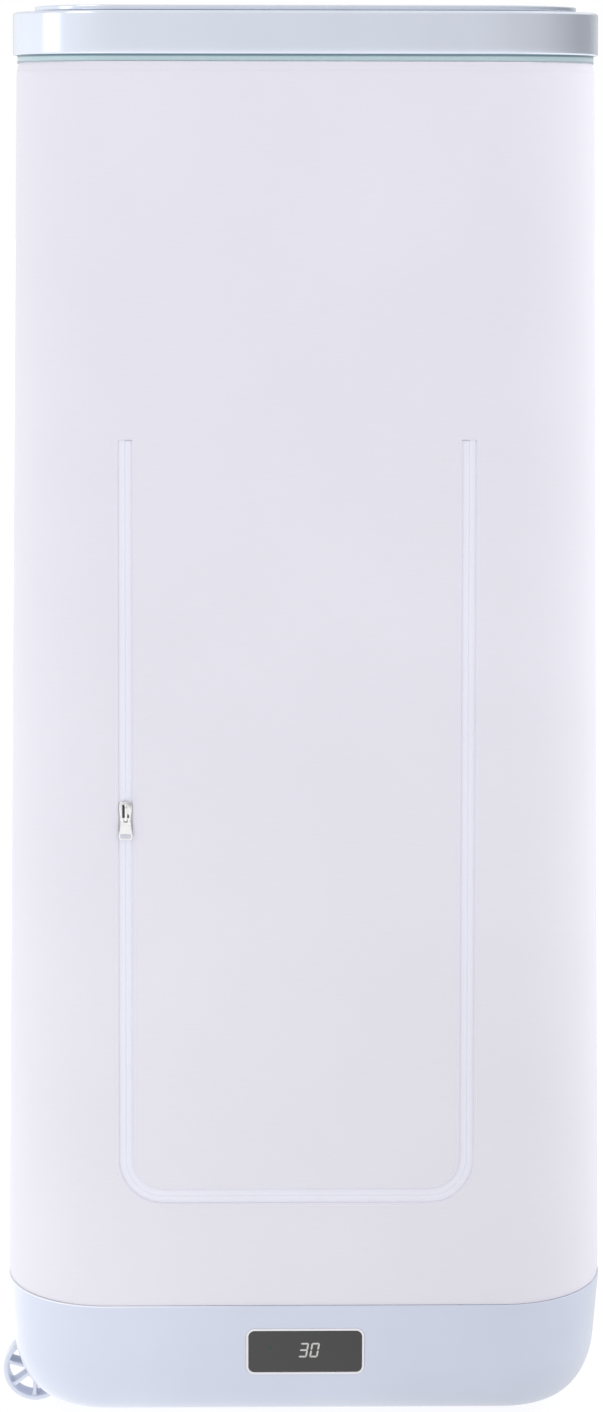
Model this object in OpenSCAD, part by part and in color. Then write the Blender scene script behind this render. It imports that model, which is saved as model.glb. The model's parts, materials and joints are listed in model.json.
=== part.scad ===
// Fabric drying cabinet: a moulded base with a hot-air unit, a tube frame, a taut fabric cover with a
// zipped door flap, and a moulded lid. Origin on the floor under the middle of the cabinet, front at -Y.

/* [Cabinet] */
// Width across the base
cabinet_w = 600; // [480:1:740]
// Depth from front to back
cabinet_d = 450; // [370:1:560]
// Height of the top panel above the floor
cabinet_h = 1420; // [1180:1:1750]
// Radius of the upright corners, seen from above
corner_r = 103; // [85:1:130]

/* [Base] */
// Clear height under the base
ground_gap = 22; // [18:0.5:30]
// Height of the base, from its underside to its rim
base_h = 119; // [112:1:140]
// Thickness of the base's wall and floor
base_wall = 3; // [2:0.5:4]
// How far each side of the base leans in from the rim to the underside
base_draft = 10.5; // [4:0.5:16]
// Width of the rounding between side and underside
bowl_round_w = 34; // [14:1:34]
// Height of the rounding between side and underside
bowl_round_h = 56; // [40:1:70]
// How far the deck lies below the rim
deck_drop = 20; // [17:1:26]
// Thickness of the deck
deck_t = 3; // [2:0.5:5]
// Size of the self-tapping screws' shank radius
screw_r = 1.45; // [1.2:0.05:1.8]

/* [Display] */
// Width of the dark display window
display_w = 112; // [90:1:130]
// Height of the dark display window
display_h = 43; // [30:1:46]
// Corner radius of the display window
display_r = 6; // [3:0.5:10]
// Width of the pale rim round the window
display_rim = 2.4; // [1.2:0.1:3]
// Height of the display's middle above the floor
display_z = 93.5; // [90:0.5:100]

/* [Wheels and feet] */
// Radius of the transport wheels, which stand on the floor
wheel_r = 32.5; // [29:0.5:38]
// Width of the wheel's rim
wheel_w = 20; // [14:0.5:24]
// Thickness of the wheel's rim
wheel_rim_t = 4.7; // [3:0.1:6]
// Number of spokes
spoke_count = 7; // [5:1:9]
// Thickness of a spoke
spoke_t = 3.4; // [2:0.1:5]
// Radius of the steel axle
axle_r = 3; // [2:0.1:4]
// How far the axle lies inside the cabinet's left side
axle_inset = 25.5; // [20:0.5:30]
// Distance from the middle of the cabinet to each wheel, front to back
wheel_y = 105; // [95:1:125]
// Radius of a foot
foot_r = 14; // [10:0.5:18]
// Thickness of the rubber pad under a foot
foot_pad_t = 5; // [3:0.5:7]

/* [Hot-air unit] */
// Outer radius of the fan blades
fan_r = 62; // [50:0.5:63]
// Number of fan blades
blade_count = 7; // [5:1:9]
// Pitch of the fan blades in degrees
blade_pitch = 35; // [25:1:40]
// Radius of the motor shaft
shaft_r = 2.5; // [2:0.1:3.5]
// Radius of the motor
motor_r = 19; // [15:0.5:19.5]
// Outer width of the heater duct
duct_w = 180; // [165:1:195]
// Outer depth of the heater duct
duct_d = 150; // [140:1:165]
// Height of the heater's frame
heater_h = 18; // [12:1:20]

/* [Frame] */
// Outer radius of the upright poles
pole_r = 8; // [6:0.25:9]
// Wall thickness of the tubes
tube_t = 1; // [0.8:0.1:1.5]
// Outer radius of the rails
rail_r = 6; // [5:0.25:7]
// Outer radius of the hanging rod
rod_r = 9; // [7:0.25:11]
// Thickness of the sleeves and sockets round the poles
sleeve_t = 3; // [2:0.25:4]
// Length of a sleeve that joins two pole sections
coupler_l = 60; // [40:1:90]

/* [Lid] */
// How far each side of the lid lies inside the base's side
lid_side_step = 9; // [6:0.5:14]
// How far the lid's front and rear lie inside the base's
lid_front_step = 1; // [0:0.5:4]
// Height of the lid's skirt
lid_h = 42; // [36:0.5:60]
// Thickness of the lid's wall
lid_wall = 3; // [2:0.5:4]
// Rounding along the lid's upper edge
lid_edge_r = 3; // [1:0.5:6]
// How far the top panel rises above the lid
panel_rise = 6; // [5.5:0.5:12]
// Thickness of the top panel
panel_t = 5; // [3:0.2:5.2]
// How far the top panel's edge lies inside the lid's edge
panel_inset = 22; // [15:1:40]
// Height of the neck band that shows between lid and cover
neck_h = 7; // [4:0.5:12]

/* [Cover] */
// Thickness of the cover's fabric
cover_t = 1.5; // [1:0.1:2.5]
// How far the cover lies inside the base's rim
cover_step = 1.3; // [0.5:0.1:2]
// How much each side of the cover leans in towards the top
cover_taper = 12; // [6:0.5:16]

/* [Door] */
// Flat cloth between the zip's left tape and the curved corner, at the door's upper edge
door_margin = 1; // [0.5:0.5:30]
// How far the door's middle lies left of the cabinet's middle
door_shift = 9; // [0:0.5:10]
// Height of the zip's lower stretch above the floor
door_bottom = 251; // [190:1:320]
// Height of the door's upper edge above the floor
door_top = 998.5; // [850:0.5:1050]
// Radius of the zip line's lower corners
zip_corner_r = 37; // [25:1:60]
// Width of the slot in the fabric in which the zip shows
zip_slot_w = 14; // [12:0.5:18]
// Width of one half of the zip's tape
tape_w = 10; // [9.5:0.5:13]
// Thickness of the zip's tape
tape_t = 0.6; // [0.4:0.1:1]
// Thickness of the zip's coil
coil_t = 1.4; // [1:0.1:2]
// Height of the slider above the floor
slider_z = 634; // [560:1:700]
// Length of the slider
slider_l = 20; // [16:0.5:26]
// Length of the slider's pull
pull_l = 21; // [16:0.5:30]

/* [Hidden] */
$fn = 48;

// Clearances
running_gap = 0.05;     // a shaft in its bore
slip_gap = 0.1;         // a tube in its sleeve
seat_gap = 0.3;         // a piece in its seat
eps = 0.01;             // thickness of a slice in a lofted shape
sink = 0.5;             // how far a boss or rib runs into what it grows from
through = 1;            // how far a cut runs past a face
corner_steps = 16;      // straight stretches in a rounded corner

// Heights
base_top = ground_gap + base_h;
floor_top = ground_gap + base_wall;
deck_top = base_top - deck_drop;
deck_bottom = deck_top - deck_t;
lid_top = cabinet_h - panel_rise;
lid_bottom = lid_top - lid_h;
plate_t = 3;
plate_bottom = lid_bottom + 9.5;
plate_top = plate_bottom + plate_t;
cover_bottom = base_top + seat_gap;
cover_top = lid_bottom - neck_h;

// The cover in plan
cover_w = cabinet_w - 2 * cover_step;
cover_d = cabinet_d - 2 * cover_step;
cover_w_top = cover_w - 2 * cover_taper;
cover_front = -cover_d / 2;
cover_back_face = cover_front + cover_t;
seam_y = cover_d / 2 - corner_r;
lid_w = cabinet_w - 2 * lid_side_step;
lid_d = cabinet_d - 2 * lid_front_step;

// The base's lean, as an angle
lean = atan(base_draft / base_h);

// The poles stand inside the cover's corners
sleeve_r = pole_r + slip_gap + sleeve_t;
pole_reach = (corner_r - cover_t - 3 - sleeve_r) * cos(45);
pole_x = cover_w_top / 2 - corner_r + pole_reach;
pole_y = cover_d / 2 - corner_r + pole_reach;
pole_joint_z = (deck_top + plate_bottom) / 2;
socket_h = 28;
rail_z = plate_bottom - socket_h - 17;
rail_socket = 14;
rod_z = rail_z - rail_r - rod_r - 7;

// Screws and their bosses
boss_r = 6;
pilot_r = screw_r + running_gap;
screw_hole_r = screw_r + 0.45;
screw_head_r = 4;
screw_head_h = 2.4;
screw_l = 16;
deck_screws = [for (x = [-1, 0, 1]) for (y = [-1, 1]) [x * (cabinet_w / 2 - 100), y * (cabinet_d / 2 - 60)]];
lid_screws = [for (x = [-1, 0, 1]) for (y = [-1, 1]) [x * (lid_w / 2 - 119), y * (lid_d / 2 - 60)]];

// The hot-air unit, stacked upwards from the floor of the base
intake_r = 70;
filter_t = 3;
spider_z = floor_top + 9;
spider_t = 3;
motor_bottom = spider_z + spider_t;
motor_h = 22;
hub_r = motor_r + 1;
hub_z = motor_bottom + motor_h + 4;
hub_h = 12;
shroud_t = 3;
shroud_r = fan_r + 4 + shroud_t;
shroud_top = hub_z + hub_h + 4;
duct_t = 2;
duct_ledge = 13;
heater_wall = 10;
outlet_w = duct_w - 9;
outlet_d = duct_d - 9;
post_x = duct_w / 2 - 10;
post_y = duct_d / 2 - 10;
board_x = duct_w / 2 + 85;
board_w = 100;
board_d = 80;
board_t = 1.6;
board_z = floor_top + 14;

// Wheels
axle_x = -(cabinet_w / 2 - axle_inset);
hub_w = wheel_w + 2.4;
ear_t = 3;
ear_in = hub_w / 2 + seat_gap;
ear_out = ear_in + ear_t;
housing_wall_x = axle_x + wheel_r + 2.5;
housing_top = 2 * wheel_r + 2.5;
wheel_boss_r = 8;
foot_x = cabinet_w / 2 - 85;

// Door and zip. The door is as wide as the flat stretch of the cover's front allows
door_x = -door_shift;
door_w = cover_w_at(door_top) - 2 * (corner_r + door_margin + tape_w + door_shift);
zip_half_gap = 0.8;
coil_w = 2.2;
tape_back = cover_back_face + tape_t;
coil_back = tape_back + coil_t;
slider_w = zip_slot_w - 1.6;
slider_x = door_x - door_w / 2;
plate_back_face = cover_back_face - seat_gap;
slider_plate_t = 2.5;
slider_front = plate_back_face - slider_plate_t;
pull_pin_r = 0.8;
pull_y = slider_front - seat_gap - pull_pin_r;
pull_z = slider_z - slider_l / 2 + 4;
bridge_t = 1.2;
bridge_w = 2.6;

// ---------------------------------------------------------------- shared shapes

// Outline of a rounded rectangle
function rounded(w, d, r) = [
    for (c = [[1, -1, -90], [1, 1, 0], [-1, 1, 90], [-1, -1, 180]])
        for (i = [0:corner_steps])
            let (a = c[2] + 90 * i / corner_steps)
                [c[0] * (w / 2 - r) + r * cos(a), c[1] * (d / 2 - r) + r * sin(a)]
];

// Outline of the door, grown by e from the zip line, up to a given height
function door_outline(e, top) = concat(
    [[door_x - door_w / 2 - e, top]],
    [for (i = [0:corner_steps])
        let (a = 180 + 90 * i / corner_steps)
            [door_x - door_w / 2 + zip_corner_r + (zip_corner_r + e) * cos(a),
             door_bottom + zip_corner_r + (zip_corner_r + e) * sin(a)]],
    [for (i = [0:corner_steps])
        let (a = 270 + 90 * i / corner_steps)
            [door_x + door_w / 2 - zip_corner_r + (zip_corner_r + e) * cos(a),
             door_bottom + zip_corner_r + (zip_corner_r + e) * sin(a)]],
    [[door_x + door_w / 2 + e, top]]
);

module plate(w, d, r, z0, z1) {
    translate([0, 0, z0]) linear_extrude(z1 - z0) polygon(rounded(w, d, r));
}

// Level ring with a wall of thickness t
module ring(w, d, r, t, z0, z1) {
    difference() {
        plate(w, d, r, z0, z1);
        plate(w - 2 * t, d - 2 * t, r - t, z0 - through, z1 + through);
    }
}

// Prism that stands on a front view outline and runs from y0 back to y1
module front_prism(y0, y1) {
    translate([0, y1, 0]) rotate([90, 0, 0]) linear_extrude(y1 - y0) children();
}

module tube(r, t, length) {
    difference() {
        cylinder(r = r, h = length);
        translate([0, 0, -through]) cylinder(r = r - t, h = length + 2 * through);
    }
}

module at_poles() {
    for (x = [-1, 1]) for (y = [-1, 1]) translate([x * pole_x, y * pole_y, 0]) children();
}

module at_points(points) {
    for (p = points) translate([p[0], p[1], 0]) children();
}

// ---------------------------------------------------------------- base

// How far the base's side lies inside its rim at height z
function lean_in(z) = base_draft * (base_top - z) / base_h;

// The base's bowl, or the hollow inside it for inset > 0
module bowl(inset, top) {
    steps = 8;
    hull() {
        for (i = [0:steps])
            let (
                a = 90 * i / steps,
                z = ground_gap + inset + (bowl_round_h - inset) * (1 - cos(a)),
                e = inset + (bowl_round_w - inset) * (1 - sin(a)) + lean_in(z)
            )
                plate(cabinet_w - 2 * e, cabinet_d - 2 * e, corner_r - e, z, z + eps);
        plate(
            cabinet_w - 2 * (inset + lean_in(top)), cabinet_d - 2 * (inset + lean_in(top)),
            corner_r - inset - lean_in(top), top - eps, top
        );
    }
}

// Places children on the base's leaning front, with the face in the XZ plane and outwards at -Y
module on_front(x, z) {
    translate([x, -(cabinet_d / 2 - lean_in(z)), z]) rotate([lean, 0, 0]) children();
}

// Places children on the base's leaning rear, with the face in the XZ plane and outwards at +Y
module on_rear(x, z) {
    translate([x, cabinet_d / 2 - lean_in(z), z]) rotate([-lean, 0, 0]) children();
}

module display_prism(grow, y0, y1) {
    front_prism(y0, y1) polygon(rounded(display_w + 2 * grow, display_h + 2 * grow, display_r + grow));
}

inlet_x = 180;
inlet_z = 88;
inlet_w = 26;
inlet_h = 15.6;

module base_tub() color("lightsteelblue") difference() {
    union() {
        difference() {
            bowl(0, base_top);
            bowl(base_wall, base_top + through);
        }
        at_points(deck_screws)
            translate([0, 0, floor_top - sink]) cylinder(r = boss_r, h = deck_bottom - floor_top + sink);
        for (x = [-1, 1]) for (y = [-1, 1])
            translate([board_x + x * (board_w / 2 - 8), y * (board_d / 2 - 8), floor_top - sink])
                cylinder(r = 3.5, h = board_z - floor_top + sink);
    }
    at_points(deck_screws)
        translate([0, 0, deck_bottom - screw_l]) cylinder(r = pilot_r, h = screw_l + through);
    for (y = [-1, 1])
        translate([axle_x - 60, y * wheel_y - ear_out - seat_gap, -through])
            cube([housing_wall_x + ear_t + seat_gap - axle_x + 60, 2 * (ear_out + seat_gap),
                  housing_top + ear_t + seat_gap + through]);
    for (y = [-1, 1])
        translate([foot_x, y * wheel_y, ground_gap - through]) cylinder(r = 4.2, h = base_wall + 2 * through);
    translate([0, 0, ground_gap - through]) cylinder(r = intake_r, h = base_wall + 2 * through);
    on_front(0, display_z) display_prism(display_rim + 0.2, -5, 12);
    on_rear(inlet_x, inlet_z)
        translate([-inlet_w / 2 - seat_gap, -12, -inlet_h / 2 - seat_gap])
            cube([inlet_w + 2 * seat_gap, 20, inlet_h + 2 * seat_gap]);
}

module base_deck() color("aliceblue") difference() {
    e = base_wall + lean_in(deck_bottom) + 0.5;
    plate(cabinet_w - 2 * e, cabinet_d - 2 * e, corner_r - e, deck_bottom, deck_top);
    translate([-outlet_w / 2, -outlet_d / 2, deck_bottom - through])
        cube([outlet_w, outlet_d, deck_t + 2 * through]);
    at_points(deck_screws)
        translate([0, 0, deck_bottom - through]) cylinder(r = screw_hole_r, h = deck_t + 2 * through);
}

module air_outlet_grille() color("whitesmoke") difference() {
    slot_w = 6;
    pitch = 10;
    flange = 8;
    flange_t = 2;
    slots = floor((outlet_w - 2 * flange) / pitch);
    union() {
        translate([-outlet_w / 2 - flange, -outlet_d / 2 - flange, deck_top])
            cube([outlet_w + 2 * flange, outlet_d + 2 * flange, flange_t]);
        translate([-outlet_w / 2 + seat_gap, -outlet_d / 2 + seat_gap, deck_bottom])
            cube([outlet_w - 2 * seat_gap, outlet_d - 2 * seat_gap, deck_t + sink]);
    }
    for (i = [0:slots - 1]) for (s = [-1, 1])
        translate([(i - (slots - 1) / 2) * pitch - slot_w / 2, s * outlet_d / 4 - outlet_d / 5,
                   deck_bottom - through])
            cube([slot_w, outlet_d * 2 / 5, deck_t + flange_t + 2 * through]);
}

module display_bezel() color("lavender") on_front(0, display_z) {
    lip = 5;
    proud = 0.6;
    difference() {
        display_prism(display_rim, -proud, 4.2);
        display_prism(0.2, -proud - through, 2.6);
        display_prism(-lip, -proud - through, 4.2 + through);
    }
    for (x = [-1, 1]) for (z = [-1, 1])
        translate([x * (display_w / 2 - 3), 6, z * (display_h / 2 - 3)])
            rotate([90, 0, 0]) cylinder(r = 1.6, h = 2);
}

module display_window() color("dimgray") on_front(0, display_z) display_prism(0, -0.2, 2.3);

module display_board() color("darkgreen") on_front(0, display_z) {
    translate([-display_w / 2 + 0.5, 6.1, -display_h / 2 + 0.5])
        cube([display_w - 1, board_t, display_h - 1]);
    translate([-14, 2.8, -9]) cube([28, 3.3 + sink, 18]);
    translate([20, 6.1 + board_t - sink, -6]) cube([18, 6, 12]);
}

module control_board() color("darkgreen") translate([board_x, 0, board_z]) {
    translate([-board_w / 2, -board_d / 2, 0]) cube([board_w, board_d, board_t]);
    translate([-40, -20, board_t - sink]) cube([30, 26, 22]);
    translate([0, 8, board_t - sink]) cube([28, 12, 16]);
    translate([-2, -26, board_t - sink]) cube([20, 16, 15]);
    for (x = [30, 42]) translate([x, -18, board_t - sink]) cylinder(r = 5, h = 18);
    translate([-42, 20, board_t - sink]) cube([24, 9, 11]);
}

module mains_inlet() color("black") on_rear(inlet_x, inlet_z) {
    body_d = 20;
    flange_t = 2;
    pin_pitch = 8.6;
    difference() {
        union() {
            translate([-inlet_w / 2, -body_d, -inlet_h / 2]) cube([inlet_w, body_d + sink, inlet_h]);
            translate([-inlet_w / 2 - 4, 0, -inlet_h / 2 - 3]) cube([inlet_w + 8, flange_t, inlet_h + 6]);
        }
        for (x = [-1, 1])
            translate([x * pin_pitch / 2, flange_t + through, 0]) rotate([90, 0, 0])
                cylinder(r = 4.4, h = 14);
        translate([-pin_pitch / 2, flange_t - 13, -3]) cube([pin_pitch, 13 + through, 6]);
    }
    for (x = [-1, 1])
        translate([x * pin_pitch / 2, 0, 0]) rotate([90, 0, 0]) cylinder(r = 1.2, h = 14);
}

// ---------------------------------------------------------------- hot-air unit

module intake_grille() color("slategray") {
    spokes = 8;
    body_r = intake_r - seat_gap;
    flange_t = 1.5;
    translate([0, 0, ground_gap - flange_t]) tube(intake_r + 6, 14, flange_t);
    translate([0, 0, ground_gap - sink]) tube(body_r, 7.7, base_wall + sink);
    for (r = [50, 32]) translate([0, 0, ground_gap]) tube(r, 4, base_wall);
    translate([0, 0, ground_gap]) cylinder(r = 12, h = base_wall);
    for (i = [0:spokes - 1]) rotate([0, 0, i * 360 / spokes])
        translate([6, -1.5, ground_gap]) cube([body_r - 10, 3, base_wall]);
}

module intake_filter() color("darkslategray")
    translate([0, 0, floor_top]) cylinder(r = intake_r + 5, h = filter_t);

module fan_shroud() color("gainsboro") {
    difference() {
        translate([-duct_w / 2 - 2, -duct_d / 2 - 2, shroud_top - shroud_t])
            cube([duct_w + 4, duct_d + 4, shroud_t]);
        translate([0, 0, shroud_top - shroud_t - through])
            cylinder(r = shroud_r - shroud_t / 2, h = shroud_t + 2 * through);
    }
    translate([0, 0, spider_z]) tube(shroud_r, shroud_t, shroud_top - spider_z);
    for (x = [-1, 1]) for (y = [-1, 1]) translate([x * post_x, y * post_y, floor_top])
        cylinder(r = 5, h = shroud_top - shroud_t - floor_top + sink);
    difference() {
        union() {
            translate([0, 0, spider_z]) cylinder(r = motor_r + 2, h = spider_t);
            for (i = [0:2]) rotate([0, 0, 30 + i * 120])
                translate([motor_r, -3, spider_z]) cube([shroud_r - shroud_t / 2 - motor_r, 6, spider_t]);
        }
        translate([0, 0, spider_z - through]) cylinder(r = 6, h = spider_t + 2 * through);
    }
}

module fan_motor() color("silver") difference() {
    union() {
        translate([0, 0, motor_bottom]) cylinder(r = motor_r, h = motor_h);
        translate([0, 0, motor_bottom + motor_h - sink]) cylinder(r = 6, h = 3 + sink);
    }
    translate([0, 0, motor_bottom + 6]) cylinder(r = shaft_r + running_gap, h = motor_h);
}

module motor_shaft() color("lightgray")
    translate([0, 0, motor_bottom + 8]) cylinder(r = shaft_r, h = hub_z + hub_h + 1 - motor_bottom - 8);

module fan_impeller() color("dimgray") difference() {
    chord = 28;
    blade_t = 2;
    union() {
        translate([0, 0, hub_z]) cylinder(r = hub_r, h = hub_h);
        for (i = [0:blade_count - 1])
            rotate([0, 0, i * 360 / blade_count]) translate([0, 0, hub_z + hub_h / 2])
                rotate([blade_pitch, 0, 0])
                    translate([hub_r - 3, -chord / 2, -blade_t / 2])
                        cube([fan_r - hub_r + 3, chord, blade_t]);
    }
    translate([0, 0, hub_z - through - 10]) cylinder(r = shaft_r + 0.02, h = hub_h + 20 + 2 * through);
    translate([0, 0, hub_z - 12]) cylinder(r = hub_r - 2, h = 12);
}

module heater_duct() color("silver") {
    difference() {
        translate([-duct_w / 2, -duct_d / 2, shroud_top])
            cube([duct_w, duct_d, deck_bottom - shroud_top]);
        translate([-duct_w / 2 + duct_t, -duct_d / 2 + duct_t, shroud_top + duct_t])
            cube([duct_w - 2 * duct_t, duct_d - 2 * duct_t, deck_bottom - shroud_top]);
        translate([-duct_w / 2 + duct_t + duct_ledge, -duct_d / 2 + duct_t + duct_ledge,
                   shroud_top - through])
            cube([duct_w - 2 * (duct_t + duct_ledge), duct_d - 2 * (duct_t + duct_ledge),
                  duct_t + 2 * through]);
    }
}

heater_w = duct_w - 2 * duct_t - 2;
heater_d = duct_d - 2 * duct_t - 2;
heater_z = shroud_top + duct_t;

module heater_frame() color("goldenrod") difference() {
    translate([-heater_w / 2, -heater_d / 2, heater_z]) cube([heater_w, heater_d, heater_h]);
    translate([-heater_w / 2 + heater_wall, -heater_d / 2 + heater_wall, heater_z - through])
        cube([heater_w - 2 * heater_wall, heater_d - 2 * heater_wall, heater_h + 2 * through]);
}

module heater_core() color("lightslategray") difference() {
    bars = 6;
    w = heater_w - 2 * heater_wall - 2 * seat_gap;
    d = heater_d - 2 * heater_wall - 2 * seat_gap;
    pitch = (d - 4) / bars;
    translate([-w / 2, -d / 2, heater_z]) cube([w, d, heater_h - 4]);
    for (i = [0:bars - 1]) for (x = [0:11])
        translate([-w / 2 + 4 + x * (w - 8) / 12, -d / 2 + 4 + i * pitch, heater_z - through])
            cube([(w - 8) / 12 - 2, pitch - 4, heater_h]);
}

module thermal_cutout() color("black")
    translate([duct_w / 2 + seat_gap, 20, (shroud_top + deck_bottom) / 2]) rotate([0, 90, 0]) {
        cylinder(r = 8, h = 6);
        translate([-6, -1.5, 6 - sink]) cube([3, 3, 7]);
        translate([3, -1.5, 6 - sink]) cube([3, 3, 7]);
    }

// ---------------------------------------------------------------- wheels and feet

module wheel_housing(side) translate([0, side * wheel_y, 0]) {
    wall_right = housing_wall_x + ear_t;
    roof_left = axle_x - wheel_boss_r + 0.5;
    difference() {
        for (s = [-1, 1]) front_prism(s > 0 ? ear_in : -ear_out, s > 0 ? ear_out : -ear_in) hull() {
            translate([axle_x, wheel_r]) circle(r = wheel_boss_r, $fn = 32);
            polygon([[roof_left, housing_top + ear_t], [wall_right, housing_top + ear_t],
                     [wall_right, ground_gap]]);
        }
        translate([axle_x, ear_out + through, wheel_r]) rotate([90, 0, 0])
            cylinder(r = axle_r + 0.02, h = 2 * (ear_out + through));
    }
    translate([housing_wall_x, -ear_in - sink, ground_gap])
        cube([ear_t, 2 * (ear_in + sink), housing_top + ear_t - ground_gap]);
    translate([roof_left, -ear_in - sink, housing_top])
        cube([wall_right - roof_left, 2 * (ear_in + sink), ear_t]);
}

module wheel_housing_front() color("lightsteelblue") wheel_housing(-1);
module wheel_housing_rear() color("lightsteelblue") wheel_housing(1);

module wheel_axles() color("silver")
    for (y = [-1, 1]) translate([axle_x, y * wheel_y + ear_out, wheel_r]) rotate([90, 0, 0])
        cylinder(r = axle_r, h = 2 * ear_out);

module wheel(side) translate([axle_x, side * wheel_y, wheel_r]) rotate([90, 0, 0]) difference() {
    chamfer = 1;
    half = wheel_w / 2;
    spoke_half = half - 1.5;
    rim_in = wheel_r - wheel_rim_t;
    union() {
        rotate_extrude() polygon([
            [rim_in, -half], [wheel_r - chamfer, -half], [wheel_r, -half + chamfer],
            [wheel_r, half - chamfer], [wheel_r - chamfer, half], [rim_in, half]
        ]);
        translate([0, 0, -hub_w / 2]) cylinder(r = 2.1 * axle_r, h = hub_w);
        for (i = [0:spoke_count - 1]) rotate([0, 0, 165 + i * 360 / spoke_count])
            translate([axle_r + 1, -spoke_t / 2, -spoke_half])
                cube([rim_in + 1.5 - axle_r - 1, spoke_t, 2 * spoke_half]);
    }
    translate([0, 0, -hub_w]) cylinder(r = axle_r + running_gap, h = 2 * hub_w);
}

module wheel_front() color("lightsteelblue") wheel(-1);
module wheel_rear() color("lightsteelblue") wheel(1);

module feet() color("lightsteelblue") for (y = [-1, 1]) translate([foot_x, y * wheel_y, 0]) {
    translate([0, 0, foot_pad_t]) cylinder(r = foot_r, h = ground_gap - foot_pad_t);
    translate([0, 0, ground_gap - sink]) cylinder(r = 3.9, h = base_wall + 3 + sink);
}

module foot_pads() color("dimgray")
    for (y = [-1, 1]) translate([foot_x, y * wheel_y, 0]) cylinder(r = foot_r - 1.5, h = foot_pad_t);

// Screws that hold the deck down on the base and the inner plate up in the lid
module housing_screws() color("silver") {
    at_points(deck_screws) {
        translate([0, 0, deck_top]) cylinder(r = screw_head_r, h = screw_head_h);
        translate([0, 0, deck_top + sink - screw_l]) cylinder(r = screw_r, h = screw_l);
    }
    at_points(lid_screws) {
        translate([0, 0, plate_bottom - screw_head_h]) cylinder(r = screw_head_r, h = screw_head_h);
        translate([0, 0, plate_bottom - sink]) cylinder(r = screw_r, h = screw_l);
    }
}

// ---------------------------------------------------------------- frame

module base_sockets() color("aliceblue")
    at_poles() translate([0, 0, deck_top]) tube(sleeve_r, sleeve_t, socket_h);

module lid_sockets() color("aliceblue")
    at_poles() translate([0, 0, plate_bottom - socket_h]) tube(sleeve_r, sleeve_t, socket_h);

module pole(x, y, z0, z1) color("silver")
    translate([x * pole_x, y * pole_y, z0]) tube(pole_r, tube_t, z1 - z0);

module lower_pole_front_left() pole(-1, -1, deck_top, pole_joint_z);
module lower_pole_front_right() pole(1, -1, deck_top, pole_joint_z);
module lower_pole_rear_left() pole(-1, 1, deck_top, pole_joint_z);
module lower_pole_rear_right() pole(1, 1, deck_top, pole_joint_z);
module upper_pole_front_left() pole(-1, -1, pole_joint_z, plate_bottom);
module upper_pole_front_right() pole(1, -1, pole_joint_z, plate_bottom);
module upper_pole_rear_left() pole(-1, 1, pole_joint_z, plate_bottom);
module upper_pole_rear_right() pole(1, 1, pole_joint_z, plate_bottom);

module pole_couplers() color("aliceblue")
    at_poles() translate([0, 0, pole_joint_z - coupler_l / 2]) tube(sleeve_r, sleeve_t, coupler_l);

// A sleeve on each pole with two sockets that point along the rails
module rail_connectors() color("aliceblue")
    for (x = [-1, 1]) for (y = [-1, 1]) translate([x * pole_x, y * pole_y, rail_z]) difference() {
        union() {
            translate([0, 0, -12]) cylinder(r = sleeve_r, h = 24);
            rotate([0, -90 * x, 0]) cylinder(r = rail_r + 2, h = sleeve_r + rail_socket);
            rotate([90 * y, 0, 0]) cylinder(r = rail_r + 2, h = sleeve_r + rail_socket);
        }
        translate([0, 0, -12 - through]) cylinder(r = pole_r + slip_gap, h = 24 + 2 * through);
        rotate([0, -90 * x, 0]) translate([0, 0, sleeve_r])
            cylinder(r = rail_r + slip_gap, h = rail_socket + through);
        rotate([90 * y, 0, 0]) translate([0, 0, sleeve_r])
            cylinder(r = rail_r + slip_gap, h = rail_socket + through);
    }

module rail_x(side) color("silver")
    translate([-(pole_x - sleeve_r - 1), side * pole_y, rail_z]) rotate([0, 90, 0])
        tube(rail_r, tube_t, 2 * (pole_x - sleeve_r - 1));

module rail_y(side) color("silver")
    translate([side * pole_x, pole_y - sleeve_r - 1, rail_z]) rotate([90, 0, 0])
        tube(rail_r, tube_t, 2 * (pole_y - sleeve_r - 1));

module front_rail() rail_x(-1);
module rear_rail() rail_x(1);
module left_rail() rail_y(-1);
module right_rail() rail_y(1);

// Each bracket hangs on a side rail and carries one end of the rod
module rod_brackets() color("aliceblue") for (x = [-1, 1]) difference() {
    half_w = rod_r + 4;
    translate([x * (pole_x - 2) - 10, -half_w, rod_z - half_w])
        cube([20, 2 * half_w, rail_z + rail_r + 4 - rod_z + half_w]);
    translate([x * pole_x, half_w + through, rail_z]) rotate([90, 0, 0])
        cylinder(r = rail_r + slip_gap, h = 2 * (half_w + through));
    translate([x * (pole_x - 4), 0, rod_z]) rotate([0, -90 * x, 0])
        cylinder(r = rod_r + slip_gap, h = 20);
}

module hanging_rod() color("silver")
    translate([-(pole_x - 4.5), 0, rod_z]) rotate([0, 90, 0]) tube(rod_r, tube_t, 2 * (pole_x - 4.5));

// ---------------------------------------------------------------- lid

module lid_shell() color("aliceblue") difference() {
    vent_w = 8;
    union() {
        difference() {
            hull() {
                plate(lid_w, lid_d, corner_r, lid_bottom, lid_top - lid_edge_r);
                for (a = [30, 60, 90])
                    let (e = lid_edge_r * (1 - cos(a)), z = lid_top - lid_edge_r * (1 - sin(a)))
                        plate(lid_w - 2 * e, lid_d - 2 * e, corner_r - e, z - eps, z);
            }
            plate(lid_w - 2 * lid_wall, lid_d - 2 * lid_wall, corner_r - lid_wall,
                  lid_bottom - through, lid_top - lid_wall);
        }
        at_points(lid_screws) translate([0, 0, plate_top])
            cylinder(r = boss_r, h = lid_top - lid_wall - plate_top + sink);
    }
    at_points(lid_screws)
        translate([0, 0, plate_top - through]) cylinder(r = pilot_r, h = screw_l);
    for (x = [-1, 1]) for (y = [-2:2])
        translate([x * lid_w / 4 - lid_w / 8, y * 40 - vent_w / 2, lid_top - lid_wall - through])
            cube([lid_w / 4, vent_w, lid_wall + 2 * through]);
}

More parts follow.
